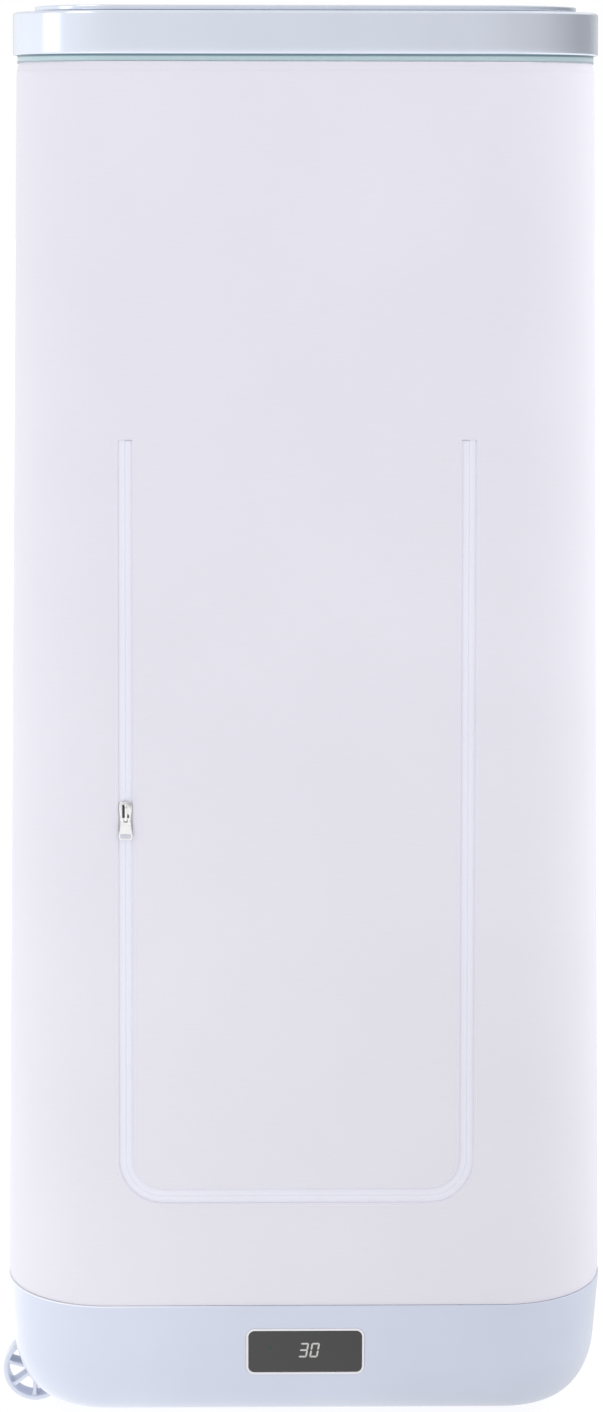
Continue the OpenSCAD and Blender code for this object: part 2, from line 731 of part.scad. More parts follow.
module lid_inner_plate() color("aliceblue") difference() {
    e = lid_wall + seat_gap;
    plate(lid_w - 2 * e, lid_d - 2 * e, corner_r - e, plate_bottom, plate_top);
    at_points(lid_screws)
        translate([0, 0, plate_bottom - through]) cylinder(r = screw_hole_r, h = plate_t + 2 * through);
    for (x = [-1, 1]) for (y = [-2:2])
        translate([x * lid_w / 4 - lid_w / 10, y * 44 - 3, plate_bottom - through])
            cube([lid_w / 5, 6, plate_t + 2 * through]);
}

module lid_top_panel() color("aliceblue") {
    e = panel_inset;
    w = lid_w - 2 * e;
    d = lid_d - 2 * e;
    plate(w, d, corner_r - e, cabinet_h - panel_t, cabinet_h);
    for (x = [-1, 1]) for (y = [-1, 1]) translate([x * (w / 2 - 50), y * (d / 2 - 50), lid_top])
        cylinder(r = 9, h = panel_rise - panel_t + sink);
}

module neck_band() color("powderblue") {
    e = lid_wall + seat_gap;
    ring(cover_w_top, lid_d - 2 * e, corner_r - e, 2.5, cover_top + 0.2, plate_bottom);
}

// ---------------------------------------------------------------- cover

// Width of the cover at height z
function cover_w_at(z) = cover_w + (cover_w_top - cover_w) * (z - cover_bottom) / (cover_top - cover_bottom);

module cover_solid(inset, z0, z1) {
    hull() {
        plate(cover_w_at(z0) - 2 * inset, cover_d - 2 * inset, corner_r - inset, z0, z0 + eps);
        plate(cover_w_at(z1) - 2 * inset, cover_d - 2 * inset, corner_r - inset, z1 - eps, z1);
    }
}

module cover_wall() {
    difference() {
        cover_solid(0, cover_bottom, cover_top);
        cover_solid(cover_t, cover_bottom - through, cover_top + through);
    }
}

// The part of the cover between two depths on one side of the cabinet, or on both sides for x = 0
module cover_stretch(y0, y1, x) {
    intersection() {
        cover_wall();
        translate([x < 0 ? -cabinet_w : x > 0 ? 0 : -cabinet_w, y0, 0])
            cube([x == 0 ? 2 * cabinet_w : cabinet_w, y1 - y0, cabinet_h]);
    }
}

module cover_front_panel() color("lavender") difference() {
    cover_stretch(-cabinet_d, -seam_y, 0);
    front_prism(-cabinet_d, cover_back_face + through) polygon(door_outline(zip_slot_w / 2, door_top));
}

module cover_back_panel() color("lavender") cover_stretch(seam_y, cabinet_d, 0);
module cover_left_panel() color("lavender") cover_stretch(-seam_y, seam_y, -1);
module cover_right_panel() color("lavender") cover_stretch(-seam_y, seam_y, 1);

module cover_top_hem() color("lavender") {
    e = cover_t + 0.2;
    ring(cover_w_top - 2 * e, cover_d - 2 * e, corner_r - e, 2, cover_top - 18, cover_top);
}

module cover_bottom_hem() color("lavender") {
    hem_bottom = deck_top + 8;
    e = base_wall + lean_in(hem_bottom) + 0.5;
    ring(cabinet_w - 2 * e, cabinet_d - 2 * e, corner_r - e, 2, hem_bottom, base_top + 14);
}

// ---------------------------------------------------------------- door flap and zip

flap_top = door_top - 0.5;

module door_flap() color("lavender")
    front_prism(cover_front, cover_back_face) polygon(door_outline(-zip_slot_w / 2, flap_top));

// One half of the zip: its tape lies behind the fabric, with the coil along the tape's free edge.
// side is 1 for the cover's half and -1 for the flap's half.
module zip_half(side, top) {
    from = side * zip_half_gap;
    tape_to = side * tape_w;
    coil_to = side * (zip_half_gap + coil_w);
    front_prism(cover_back_face, tape_back) difference() {
        polygon(door_outline(max(from, tape_to), top));
        polygon(door_outline(min(from, tape_to), top + through));
    }
    front_prism(tape_back - tape_t / 2, coil_back) difference() {
        polygon(door_outline(max(from, coil_to), top));
        polygon(door_outline(min(from, coil_to), top + through));
    }
}

module zip_tape_cover() color("ghostwhite") zip_half(1, door_top);
module zip_tape_flap() color("ghostwhite") zip_half(-1, flap_top);

// The slider's front plate lies in the slot, its back plate behind the flap's half of the zip
module zip_slider() color("silver") translate([slider_x, 0, slider_z]) {
    back_face = coil_back + seat_gap;
    bridge_top = slider_l / 2 - 2;
    bridge_bottom = -slider_l / 2 + 1.5;
    bridge_out = pull_y - pull_pin_r - seat_gap - bridge_t;
    translate([-slider_w / 2, slider_front, -slider_l / 2]) cube([slider_w, slider_plate_t, slider_l]);
    translate([-0.5, plate_back_face - sink, 2]) cube([1, back_face - plate_back_face + 2 * sink, 6]);
    translate([-0.5, back_face, -slider_l / 2 + 2]) cube([5.5, 1.2, slider_l - 4]);
    difference() {
        translate([-bridge_w / 2, bridge_out, bridge_bottom])
            cube([bridge_w, slider_front - bridge_out + sink, bridge_top - bridge_bottom]);
        translate([-bridge_w, bridge_out + bridge_t, bridge_bottom + 1.2])
            cube([2 * bridge_w, slider_front - bridge_out - bridge_t, 7]);
    }
}

module zip_pull() color("silver") translate([slider_x, pull_y, pull_z]) {
    arm_in = bridge_w / 2 + 0.7;
    arm_out = 4.4;
    foot_out = 6.6;
    neck = 6;
    hole_r = 2;
    hole_x = 2.2;
    hole_z = 5 - pull_l;
    translate([-arm_out, 0, 0]) rotate([0, 90, 0]) cylinder(r = pull_pin_r, h = 2 * arm_out);
    for (x = [-1, 1])
        translate([x * (arm_in + arm_out) / 2 - (arm_out - arm_in) / 2, -pull_pin_r, -neck - 0.5])
            cube([arm_out - arm_in, 2 * pull_pin_r, neck + 0.5]);
    difference() {
        front_prism(-pull_pin_r, pull_pin_r) polygon([
            [-arm_out, -neck], [-foot_out, 2 - pull_l], [1.6 - foot_out, -pull_l],
            [foot_out - 1.6, -pull_l], [foot_out, 2 - pull_l], [arm_out, -neck]
        ]);
        for (x = [-1, 1]) translate([x * hole_x, 2, hole_z]) rotate([90, 0, 0]) cylinder(r = hole_r, h = 4);
        translate([-hole_x, -2, hole_z - hole_r]) cube([2 * hole_x, 4, 2 * hole_r]);
    }
}

base_tub();
base_deck();
air_outlet_grille();
display_bezel();
display_window();
display_board();
control_board();
mains_inlet();
intake_grille();
intake_filter();
fan_shroud();
fan_motor();
motor_shaft();
fan_impeller();
heater_duct();
heater_frame();
heater_core();
thermal_cutout();
wheel_housing_front();
wheel_housing_rear();
wheel_axles();
wheel_front();
wheel_rear();
feet();
foot_pads();
housing_screws();
base_sockets();
lower_pole_front_left();
lower_pole_front_right();
lower_pole_rear_left();
lower_pole_rear_right();
pole_couplers();
upper_pole_front_left();
upper_pole_front_right();
upper_pole_rear_left();
upper_pole_rear_right();
lid_sockets();
rail_connectors();
front_rail();
rear_rail();
left_rail();
right_rail();
rod_brackets();
hanging_rod();
lid_shell();
lid_inner_plate();
lid_top_panel();
neck_band();
cover_front_panel();
cover_back_panel();
cover_left_panel();
cover_right_panel();
cover_top_hem();
cover_bottom_hem();
door_flap();
zip_tape_cover();
zip_tape_flap();
zip_slider();
zip_pull();
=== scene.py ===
"""Fabric drying cabinet: smooth shells, taut cloth, zip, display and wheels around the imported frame."""

import json
import math
import random

import bmesh
import bpy
import numpy as np
from mathutils import Matrix, Vector, geometry


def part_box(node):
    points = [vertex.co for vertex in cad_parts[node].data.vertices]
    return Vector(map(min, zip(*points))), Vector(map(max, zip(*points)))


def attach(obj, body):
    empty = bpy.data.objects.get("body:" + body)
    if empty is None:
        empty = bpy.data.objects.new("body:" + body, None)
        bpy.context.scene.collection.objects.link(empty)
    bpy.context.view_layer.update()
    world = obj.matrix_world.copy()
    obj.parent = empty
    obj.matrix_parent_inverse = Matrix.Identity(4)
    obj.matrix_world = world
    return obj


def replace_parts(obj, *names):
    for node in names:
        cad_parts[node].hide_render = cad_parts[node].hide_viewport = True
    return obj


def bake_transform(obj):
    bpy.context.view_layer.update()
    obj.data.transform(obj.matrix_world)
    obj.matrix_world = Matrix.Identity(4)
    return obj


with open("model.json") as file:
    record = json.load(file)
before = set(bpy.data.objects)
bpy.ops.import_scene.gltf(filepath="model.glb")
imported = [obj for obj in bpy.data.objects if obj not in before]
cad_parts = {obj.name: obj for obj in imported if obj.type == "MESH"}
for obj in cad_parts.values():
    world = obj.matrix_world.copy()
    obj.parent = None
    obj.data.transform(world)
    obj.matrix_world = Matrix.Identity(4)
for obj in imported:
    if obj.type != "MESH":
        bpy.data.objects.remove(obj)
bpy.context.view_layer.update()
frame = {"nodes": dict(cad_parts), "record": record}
MM = 0.001

# ------------------------------------------------------------------ sizes, in metres


def span(node, axis):
    """Lowest and highest coordinate of a CAD node along one axis."""
    low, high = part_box(node)
    return low[axis], high[axis]


def middle(node, axis):
    return sum(span(node, axis)) / 2


def half_span(node, axis):
    low, high = span(node, axis)
    return (high - low) / 2


def plan(node):
    """Width and depth of a CAD node that stands round the cabinet's axis."""
    return 2 * span(node, 0)[1], 2 * span(node, 1)[1]


CORNER_R = 103 * MM

BASE_LOW, RIM_Z = span("base_tub", 2)
BASE_W, BASE_D = plan("base_tub")
WALL = 3 * MM
DRAFT = 10.5 * MM
BOWL_W, BOWL_H = 34 * MM, 56 * MM
LIP_R = 0.9 * MM
# Where a highlight is painted on the base's rim, standing in for the left light catching it: over these
# heights, and fading out over this stretch across
RIM_HIGHLIGHT_Z = RIM_Z - 1.3 * MM, RIM_Z - 0.5 * MM
RIM_HIGHLIGHT_X = -0.19, -0.04

COVER_LOW, COVER_HIGH = span("cover_front_panel", 2)
COVER_H = COVER_HIGH - COVER_LOW
COVER_W = 2 * span("cover_front_panel", 0)[1]
COVER_FRONT = span("cover_front_panel", 1)[0]
COVER_D = -2 * COVER_FRONT
COVER_TAPER = 12 * MM
CLOTH_T = 1.5 * MM
CLOTH_BACK = COVER_FRONT + CLOTH_T
SEAM_Y = COVER_D / 2 - CORNER_R

LID_LOW, LID_TOP = span("lid_shell", 2)
LID_W, LID_D = plan("lid_shell")
LID_LOW_R, LID_EDGE_R = 1.8 * MM, 3 * MM
PANEL_LOW, PANEL_TOP = span("lid_top_panel", 2)
PANEL_W, PANEL_D = plan("lid_top_panel")
PANEL_T, PANEL_EDGE_R = 5 * MM, 1.2 * MM
POST_R, POST_IN = 9 * MM, 50 * MM
# The neck band's colour turns into a painted shadow under the lid's lower edge over these heights
LID_SHADOW_Z = LID_LOW - 2.6 * MM, LID_LOW - 1.4 * MM

SLOT_W = 14 * MM
ZIP_R = 37 * MM
TAPE_W, TAPE_T = 10 * MM, 0.6 * MM
FLAP_LEFT, FLAP_RIGHT = span("door_flap", 0)
DOOR_LEFT, DOOR_RIGHT = FLAP_LEFT - SLOT_W / 2, FLAP_RIGHT + SLOT_W / 2
DOOR_LOW = span("door_flap", 2)[0] - SLOT_W / 2
DOOR_TOP = span("door_flap", 2)[1] + 0.5 * MM

DISPLAY_W, DISPLAY_H, DISPLAY_R = 112 * MM, 43 * MM, 6 * MM
DISPLAY_RIM = 2.4 * MM
DISPLAY_Z = 93.5 * MM

WHEEL_R = half_span("wheel_front", 2)
WHEEL_RIM_W, WHEEL_RIM_T, WHEEL_EDGE_R = 20 * MM, 4.7 * MM, 1.6 * MM
HUB_W, HUB_R = 22.4 * MM, 7.6 * MM
AXLE_R, AXLE_GAP = 3 * MM, 0.05 * MM
SPOKES, SPOKE_T = 7, 3.4 * MM
FIRST_SPOKE = 113.6

# ------------------------------------------------------------------ materials

WHITE, BLACK = (1.0, 1.0, 1.0, 1.0), (0.0, 0.0, 0.0, 1.0)
LOOKS = {}


def linear(r, g, b):
    """sRGB 0-255 to the linear colour that shaders take."""

    def one(v):
        v /= 255
        return v / 12.92 if v <= 0.04045 else ((v + 0.055) / 1.055) ** 2.4

    return (one(r), one(g), one(b), 1.0)


def scaled(colour, k):
    return tuple(min(1.0, c * k) for c in colour[:3]) + (1.0,)


class Nodes:
    """A node tree under construction, with short calls for the nodes that it needs."""

    def __init__(self, tree):
        self.tree = tree

    def feed(self, socket, value):
        """Links a socket to another one, or sets it to a value."""
        if isinstance(value, bpy.types.NodeSocket):
            self.tree.links.new(value, socket)
        else:
            socket.default_value = value

    def node(self, kind, *inputs, **named):
        """A new node: its first inputs in their order, then its settings and other inputs by name."""
        n = self.tree.nodes.new("ShaderNode" + kind)
        for socket, value in zip(n.inputs, inputs):
            self.feed(socket, value)
        for key, value in named.items():
            if hasattr(n, key):
                setattr(n, key, value)
            else:
                self.feed(n.inputs[key.replace("_", " ")], value)
        return n

    def place(self, kind="Object"):
        return self.node("TexCoord").outputs[kind]

    def axes(self, kind="Object"):
        return self.node("SeparateXYZ", self.place(kind)).outputs

    def stretched(self, kind, scale):
        return self.node("Mapping", Vector=self.place(kind), Scale=scale).outputs["Vector"]

    def noise(self, scale, detail=3.0, rough=0.5, place=None):
        n = self.node("TexNoise", Vector=place or self.place(), Scale=scale, Detail=detail, Roughness=rough)
        return n.outputs["Fac"]

    def ramp(self, value, stops):
        """A colour ramp through stops of (place, colour) or (place, grey level)."""
        n = self.node("ValToRGB", value)
        points = n.color_ramp.elements
        while len(points) < len(stops):
            points.new(0.5)
        for point, (at, colour) in zip(points, stops):
            point.position = at
            point.color = (colour,) * 3 + (1.0,) if isinstance(colour, float) else colour
        return n.outputs["Color"]

    def range(self, value, low=0.0, high=1.0, over=(0.0, 1.0)):
        """Turns the stretch that the value goes over into low to high."""
        n = self.node("MapRange", Value=value, From_Min=over[0], From_Max=over[1], To_Min=low, To_Max=high)
        return n.outputs["Result"]

    def math(self, how, a, b):
        return self.node("Math", a, b, operation=how).outputs[0]

    def mix(self, share, a, b):
        """A colour between a and b."""
        n = self.node("Mix", data_type="RGBA")
        for index, value in ((0, share), (6, a), (7, b)):
            self.feed(n.inputs[index], value)
        return n.outputs[2]

    def by_height(self, over, below, above):
        """One colour that turns into another over a stretch of heights."""
        return self.mix(self.range(self.axes()["Z"], over=over), below, above)

    def surface(self, shader):
        """Makes a shader the one that the tree puts out."""
        end = next(n for n in self.tree.nodes if n.bl_idname.startswith("ShaderNodeOutput"))
        self.feed(end.inputs["Surface"], shader)


class Look(Nodes):
    """A material of the Principled shader, kept in LOOKS under its name."""

    def __init__(self, name, **inputs):
        self.mat = bpy.data.materials.new(name)
        self.mat.use_nodes = True
        super().__init__(self.mat.node_tree)
        self.shader = self.tree.nodes["Principled BSDF"]
        self.set(**inputs)
        LOOKS[name] = self.mat

    def set(self, **inputs):
        for key, value in inputs.items():
            self.feed(self.shader.inputs[key.replace("_", " ")], value)

    def tint(self, value, colour, low, high, edge=0.3):
        """The colour times low to high, as a noise goes through its middle range."""
        return self.ramp(value, [(edge, scaled(colour, low)), (1 - edge, scaled(colour, high))])

    def bump(self, *layers):
        """Each layer is (height socket, strength, distance in metres)."""
        normal = None
        for height, strength, distance in layers:
            n = self.node("Bump", Height=height, Strength=strength, Distance=distance)
            if normal:
                self.feed(n.inputs["Normal"], normal)
            normal = n.outputs["Normal"]
        self.set(Normal=normal)


def moulded(name, colour, low, high, grain=2600.0, bump=0.12, coat=0.0,
            variation=0.03, metal=0.0, rim=None):
    """Moulded plastic: faint flow shading, an uneven gloss, a fine grain and, for the base, a painted
    highlight on the rim.
    """
    look = Look(name, Metallic=metal, Coat_Weight=coat, Coat_Roughness=0.12)
    shade = look.tint(look.noise(7.0, 4.0, 0.55), colour, 1 - variation, 1 + variation)
    # The rim colour paints a highlight along the rim's top, strongest at the left where the light catches it
    if rim:
        painted_rim_highlight = look.ramp(look.range(look.axes()["X"], over=RIM_HIGHLIGHT_X), [(0.0, rim), (1.0, colour)])
        shade = look.by_height(RIM_HIGHLIGHT_Z, shade, painted_rim_highlight)
    look.set(Base_Color=shade, Roughness=look.range(look.noise(38.0, 5.0, 0.6), low, high))
    look.bump((look.noise(grain, 2.0), bump, 0.05 * MM), (look.noise(18.0, 2.0), 0.05, 0.6 * MM))


def cloth(name, colour, threads=1150.0, weave=0.35, sheen=0.5, variation=0.02):
    """Closely woven coated cloth on UVs in metres: warp and weft, faint slubs and broad uneven tension."""
    look = Look(name, Sheen_Weight=sheen, Sheen_Roughness=0.45, Sheen_Tint=WHITE, Specular_IOR_Level=0.28)
    warp, weft = (look.node("TexWave", bands_direction=way, Vector=look.place("UV"), Scale=threads / math.pi)
                  for way in "XY")
    woven = look.math("MAXIMUM", warp.outputs["Fac"], weft.outputs["Fac"])
    slubs = look.noise(3.0, 3.0, 0.6, look.stretched("UV", (14.0, 240.0, 1.0)))
    broad = look.noise(4.0, 3.0, 0.5)
    mixed = look.math("ADD", look.math("MULTIPLY", slubs, 0.35), look.math("MULTIPLY", broad, 0.65))
    look.set(Base_Color=look.tint(mixed, colour, 1 - variation, 1 + variation, 0.35),
             Roughness=look.range(slubs, 0.62, 0.8))
    look.bump((woven, weave, 0.12 * MM), (slubs, 0.12, 0.1 * MM), (broad, 0.08, 1.5 * MM))


def loop_band(name, colour, shade):
    """Fuzzy hook-and-loop band, whose upper edge under the lid is darkened with a painted shadow."""
    look = Look(name, Roughness=0.5, Metallic=0.4, Specular_IOR_Level=0.2)
    look.set(Sheen_Weight=0.6, Sheen_Roughness=0.5)
    tufts = look.noise(900.0, 4.0, 0.7)
    look.set(Base_Color=look.by_height(LID_SHADOW_Z, look.tint(tufts, colour, 0.9, 1.08), shade))
    look.bump((tufts, 0.8, 0.3 * MM), (look.noise(2600.0, 2.0), 0.4, 0.1 * MM))


def metal(name, colour, low, high, stretch=(1, 1, 1), bump=0.1):
    """Metal with fine scratches drawn out along one axis."""
    look = Look(name, Metallic=1.0)
    scratches = look.noise(900.0, 3.0, 0.6, look.stretched("Object", stretch))
    look.set(Base_Color=look.tint(look.noise(30.0, 3.0), colour, 0.93, 1.05),
             Roughness=look.range(scratches, low, high))
    look.bump((scratches, bump, 0.02 * MM))


# The slots of the record
# The rim colour is a painted highlight on the base's rim
moulded("base_shell", linear(201, 207, 224), 0.26, 0.34, coat=0.35, rim=linear(237, 240, 249))
moulded("lid_shell", linear(222, 228, 240), 0.14, 0.2, bump=0.04, coat=0.2, metal=0.65)
moulded("inner_plastic", linear(232, 235, 240), 0.4, 0.55)
moulded("wheel_plastic", linear(209, 215, 229), 0.32, 0.45, bump=0.2)
cloth("cover_fabric", linear(221, 219, 228), sheen=0.15)
cloth("zip_tape", linear(230, 230, 241), threads=2400.0, weave=0.5, sheen=0.35)
# The second colour is the painted shadow under the lid's edge
loop_band("neck_strip", linear(184, 205, 211), linear(118, 142, 152))
metal("bright_steel", linear(205, 206, 209), 0.2, 0.34, (1, 1, 0.03))
metal("zip_metal", linear(236, 236, 234), 0.16, 0.3, bump=0.2)
moulded("window", linear(35, 34, 36), 0.08, 0.14, bump=0.02, coat=0.6)
moulded("circuit_board", linear(22, 84, 52), 0.35, 0.5, grain=900.0, bump=0.3)
moulded("dark_plastic", linear(46, 47, 50), 0.38, 0.52)
moulded("filter_foam", linear(62, 64, 68), 0.9, 1.0, grain=700.0, bump=1.0, variation=0.2)
metal("duct_metal", linear(206, 208, 210), 0.28, 0.42, (1, 0.04, 1))
metal("heater_fins", linear(184, 186, 188), 0.3, 0.5, (0.05, 1, 1))
moulded("heater_frame", linear(196, 158, 92), 0.5, 0.65, bump=0.25)
moulded("foot_rubber", linear(58, 58, 60), 0.75, 0.9, grain=1500.0, bump=0.5)
# Looks of single pieces
moulded("display_rim", linear(230, 229, 233), 0.25, 0.35, coat=0.2)
moulded("display_digits", linear(196, 195, 194), 0.4, 0.5)
moulded("display_indicator", linear(44, 58, 52), 0.3, 0.4)
cloth("sewing_thread", linear(238, 237, 245), threads=5000.0, weave=0.6)
moulded("zip_coil", linear(232, 232, 240), 0.3, 0.42)
cloth("band_fibre", linear(214, 222, 230), threads=4000.0, weave=0.3, sheen=0.8)

SLOT_OF = {part["node"]: part["material_slot"] for part in frame["record"]["subparts"]}


def paint(obj, look):
    obj.data.materials.clear()
    obj.data.materials.append(LOOKS[look])
    return obj


def dress(obj, slot, look=None):
    """Gives a piece the look of its slot, or one of its own."""
    paint(obj, look or slot)
    return obj


def settle(obj, slot, *nodes, body="root", look=None):
    """Finishes a piece: its look, the CAD nodes that it stands for and the body that it rides on."""
    dress(obj, slot, look)
    if nodes:
        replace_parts(obj, *nodes)
    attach(obj, body)


# ------------------------------------------------------------------ outlines


def arc_points(cx, cz, r, start, end, steps=5):
    """Points of an arc from one angle to another, in degrees."""
    turn = [math.radians(start + (end - start) * i / steps) for i in range(steps + 1)]
    return [(cx + r * math.cos(a), cz + r * math.sin(a)) for a in turn]


def circle_points(cx, cy, r, n=48):
    return arc_points(cx, cy, r, 0, 360, n)[:-1]


def box_points(x0, x1, y0, y1):
    return [(x0, y0), (x1, y0), (x1, y1), (x0, y1)]


def corners(w, d, r, steps):
    """The corner arcs of a rounded rectangle, anticlockwise from the right-hand end of its lower side."""
    quarters = ((1, -1, -90), (1, 1, 0), (-1, 1, 90), (-1, -1, 180))
    return [arc_points(x * (w / 2 - r), y * (d / 2 - r), r, a, a + 90, steps) for x, y, a in quarters]


def outline(w, d, r, pitch=24 * MM):
    """A rounded rectangle round the cabinet. Of any width, it has as many points as the base's rim would."""
    arcs = corners(w, d, r, 24)
    points = []
    for i, arc in enumerate(arcs):
        steps = round(((BASE_W if i % 2 else BASE_D) - 2 * CORNER_R) / pitch)
        (x0, y0), (x1, y1) = arc[-1], arcs[(i + 1) % 4][0]
        points += arc + [(x0 + (x1 - x0) * k / steps, y0 + (y1 - y0) * k / steps) for k in range(1, steps)]
    return points


def mirrored(points, flip=(-1, 1)):
    """Half an outline, and back along its mirror image."""
    return points + [(u * flip[0], v * flip[1]) for u, v in points[::-1]]


def about(x, z, points):
    """Points given in millimetres round a place."""
    return [(x + a * MM, z + b * MM) for a, b in points]


def rounded_path(points, r, steps=5):
    """An outline with each of its corners rounded."""
    out = []
    for i, point in enumerate(points):
        p, a, b = Vector(point), Vector(points[i - 1]), Vector(points[(i + 1) % len(points)])
        u, v = (a - p).normalized(), (b - p).normalized()
        cut = min(r / math.tan(u.angle(v) / 2), 0.45 * (a - p).length, 0.45 * (b - p).length)
        start, end = p + u * cut, p + v * cut
        for t in (k / steps for k in range(steps + 1)):
            out.append(tuple((1 - t) ** 2 * start + 2 * t * (1 - t) * p + t * t * end))
    return out


# ------------------------------------------------------------------ mesh helpers


def new_object(name, data):
    obj = bpy.data.objects.new(name, data)
    bpy.context.scene.collection.objects.link(obj)
    return obj


def weld(bm):
    bmesh.ops.remove_doubles(bm, verts=bm.verts, dist=1e-6)


def face_out(bm):
    bmesh.ops.recalc_face_normals(bm, faces=bm.faces)


def mark_sharp(bm, sharp):
    """Smooth faces, but for the edges over the sharp angle, in degrees."""
    for face in bm.faces:
        face.smooth = True
    for edge in bm.edges:
        edge.smooth = len(edge.link_faces) == 2 and edge.calc_face_angle(0.0) < math.radians(sharp)


def from_bmesh(name, bm, sharp=35.0):
    weld(bm)
    face_out(bm)
    mark_sharp(bm, sharp)
    mesh = bpy.data.meshes.new(name)
    bm.to_mesh(mesh)
    bm.free()
    return new_object(name, mesh)


def edit(mesh, sharp, *changes):
    """Makes changes to a mesh, then marks its sharp edges again."""
    bm = bmesh.new()
    bm.from_mesh(mesh)
    for change in changes:
        change(bm)
    mark_sharp(bm, sharp)
    bm.to_mesh(mesh)
    bm.free()


def skin(name, rings, closed=False, caps=True, sharp=35.0):
    """A surface through rings of points. Closed, the last ring joins the first. Others may have caps."""
    bm = bmesh.new()
    rings = [[bm.verts.new(p) for p in ring] for ring in rings]
    for a, b in zip(rings, rings[1:] + rings[:1] if closed else rings[1:]):
        for i in range(len(a)):
            j = (i + 1) % len(a)
            bm.faces.new((a[i], a[j], b[j], b[i]))
    if caps and not closed:
        bm.faces.new(rings[0])
        bm.faces.new(rings[-1])
    return from_bmesh(name, bm, sharp)


def ring_shell(name, profile, w, d, r, closed=False):
    """A shell whose section is the profile: points (inset from the side, z), carried round the cabinet."""
    rings = [[(x, y, z) for x, y in outline(w - 2 * e, d - 2 * e, r - e)] for e, z in profile]
    return skin(name, rings, closed)


def layered(name, layers, closed=False):
    """A solid through outlines (x, z) with as many points each, given as (points, y)."""
    return skin(name, [[(x, y, z) for x, z in points] for points, y in layers], closed)


def prism(name, points, low, high, along="z"):
    """A straight-sided solid on an outline. Along z it stands on (x, y) points, along y on (x, z) points."""
    if along == "y":
        return layered(name, [(points, low), (points, high)])
    return skin(name, [[(x, y, z) for x, y in points] for z in (low, high)])


def tubes(name, many):
    """A smooth mesh of closed tubes, each given as the rings of points that it runs through."""
    verts, faces = [], []
    for rings in many:
        start, n = len(verts), len(rings[0])
        verts += [tuple(p) for ring in rings for p in ring]
        last = len(verts) - n
        for a in range(start, last, n):
            faces += [(a + q, a + (q + 1) % n, a + n + (q + 1) % n, a + n + q) for q in range(n)]
        faces += [tuple(range(start + n - 1, start - 1, -1)), tuple(range(last, last + n))]
    mesh = bpy.data.meshes.new(name)
    mesh.from_pydata(verts, [], faces)
    mesh.polygons.foreach_set("use_smooth", [True] * len(faces))
    return mesh


def apply_modifiers(obj):
    """Replaces the object's mesh with what its modifiers make of it."""
    bpy.context.view_layer.update()
    seen = obj.evaluated_get(bpy.context.evaluated_depsgraph_get())
    mesh = bpy.data.meshes.new_from_object(seen)
    old = obj.data
    obj.modifiers.clear()
    obj.data = mesh
    bpy.data.meshes.remove(old)


def combine(obj, adds=(), cuts=()):
    """Joins solids to an object, cuts others out of it, and removes them."""
    for tool, how in [(tool, "UNION") for tool in adds] + [(tool, "DIFFERENCE") for tool in cuts]:
        m = obj.modifiers.new("combine", "BOOLEAN")
        m.operation, m.solver, m.object = how, "EXACT", tool
    apply_modifiers(obj)
    for tool in (*adds, *cuts):
        bpy.data.objects.remove(tool)


def bevel(obj, width, segments=3, angle=30.0):
    m = obj.modifiers.new("edges", "BEVEL")
    m.width, m.segments, m.limit_method, m.angle_limit = width, segments, "ANGLE", math.radians(angle)
    m.harden_normals = True
    apply_modifiers(obj)


def join(name, parts):
    """Several meshes as one object, each with its own material."""
    bm = bmesh.new()
    looks = []
    for part in parts:
        start = len(bm.faces)
        bm.from_mesh(part.data)
        look = part.data.materials[0]
        if look not in looks:
            looks.append(look)
        bm.faces.ensure_lookup_table()
        for face in bm.faces[start:]:
            face.material_index = looks.index(look)
        bpy.data.objects.remove(part)
    mesh = bpy.data.meshes.new(name)
    bm.to_mesh(mesh)
    bm.free()
    for look in looks:
        mesh.materials.append(look)
    return new_object(name, mesh)


# ------------------------------------------------------------------ base


def lean_in(z):
    """How far the base's wall stands in at a height."""
    return DRAFT * (RIM_Z - z) / (RIM_Z - BASE_LOW)


def bowl_side(inset, top, steps=14, rows=3):
    """The base's section from the underside up to a height, as (inset, z) points."""
    points = []
    for a in (math.pi / 2 * i / steps for i in range(steps + 1)):
        z = BASE_LOW + inset + (BOWL_H - inset) * (1 - math.cos(a))
        points.append((inset + (BOWL_W - inset) * (1 - math.sin(a)) + lean_in(z), z))
    z0 = points[-1][1]
    return points + [(inset + lean_in(z), z) for z in (z0 + (top - z0) * k / rows for k in range(1, rows + 1))]


def make_base():
    shoulder = RIM_Z - LIP_R
    lip = arc_points(LIP_R, shoulder, LIP_R, 180, 90)[1:] + arc_points(WALL - LIP_R, shoulder, LIP_R, 90, 0)
    section = bowl_side(0, shoulder) + lip + bowl_side(WALL, shoulder)[::-1][1:]
    tub = ring_shell("base_tub_shell", section, BASE_W, BASE_D, CORNER_R)
    reach, gap = 6 * MM, 0.3 * MM
    intake_r, foot_hole_r = 70 * MM, 4.2 * MM
    holes = [circle_points(0, 0, intake_r, 96)]
    foot_x, foot_y = middle("foot_pads", 0), middle("wheel_rear", 1)
    holes += [circle_points(foot_x, side * foot_y, foot_hole_r, 32) for side in (-1, 1)]
    housings = []
    for node in ("wheel_housing_front", "wheel_housing_rear"):
        low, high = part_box(node)
        box = box_points(low.x - 60 * MM, high.x + gap, low.y - gap, high.y + gap)
        housings.append(prism("cut_housing", box, -reach, high.z + gap))
    low_holes = [prism("cut_hole", hole, BASE_LOW - reach, BASE_LOW + reach) for hole in holes]
    combine(tub, cuts=[cutter_front_window(), cutter_inlet(), *low_holes, *housings])
    edit(tub.data, 35.0, weld)
    settle(tub, "base_shell", "base_tub")


def cutter_inlet():
    low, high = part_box("mains_inlet")
    side, edge = 3.7 * MM, 2.7 * MM
    box = box_points(low.x + side, high.x - side, low.z + edge, high.z - edge)
    return prism("cut_inlet", box, low.y, high.y + 5 * MM, "y")


# ------------------------------------------------------------------ display

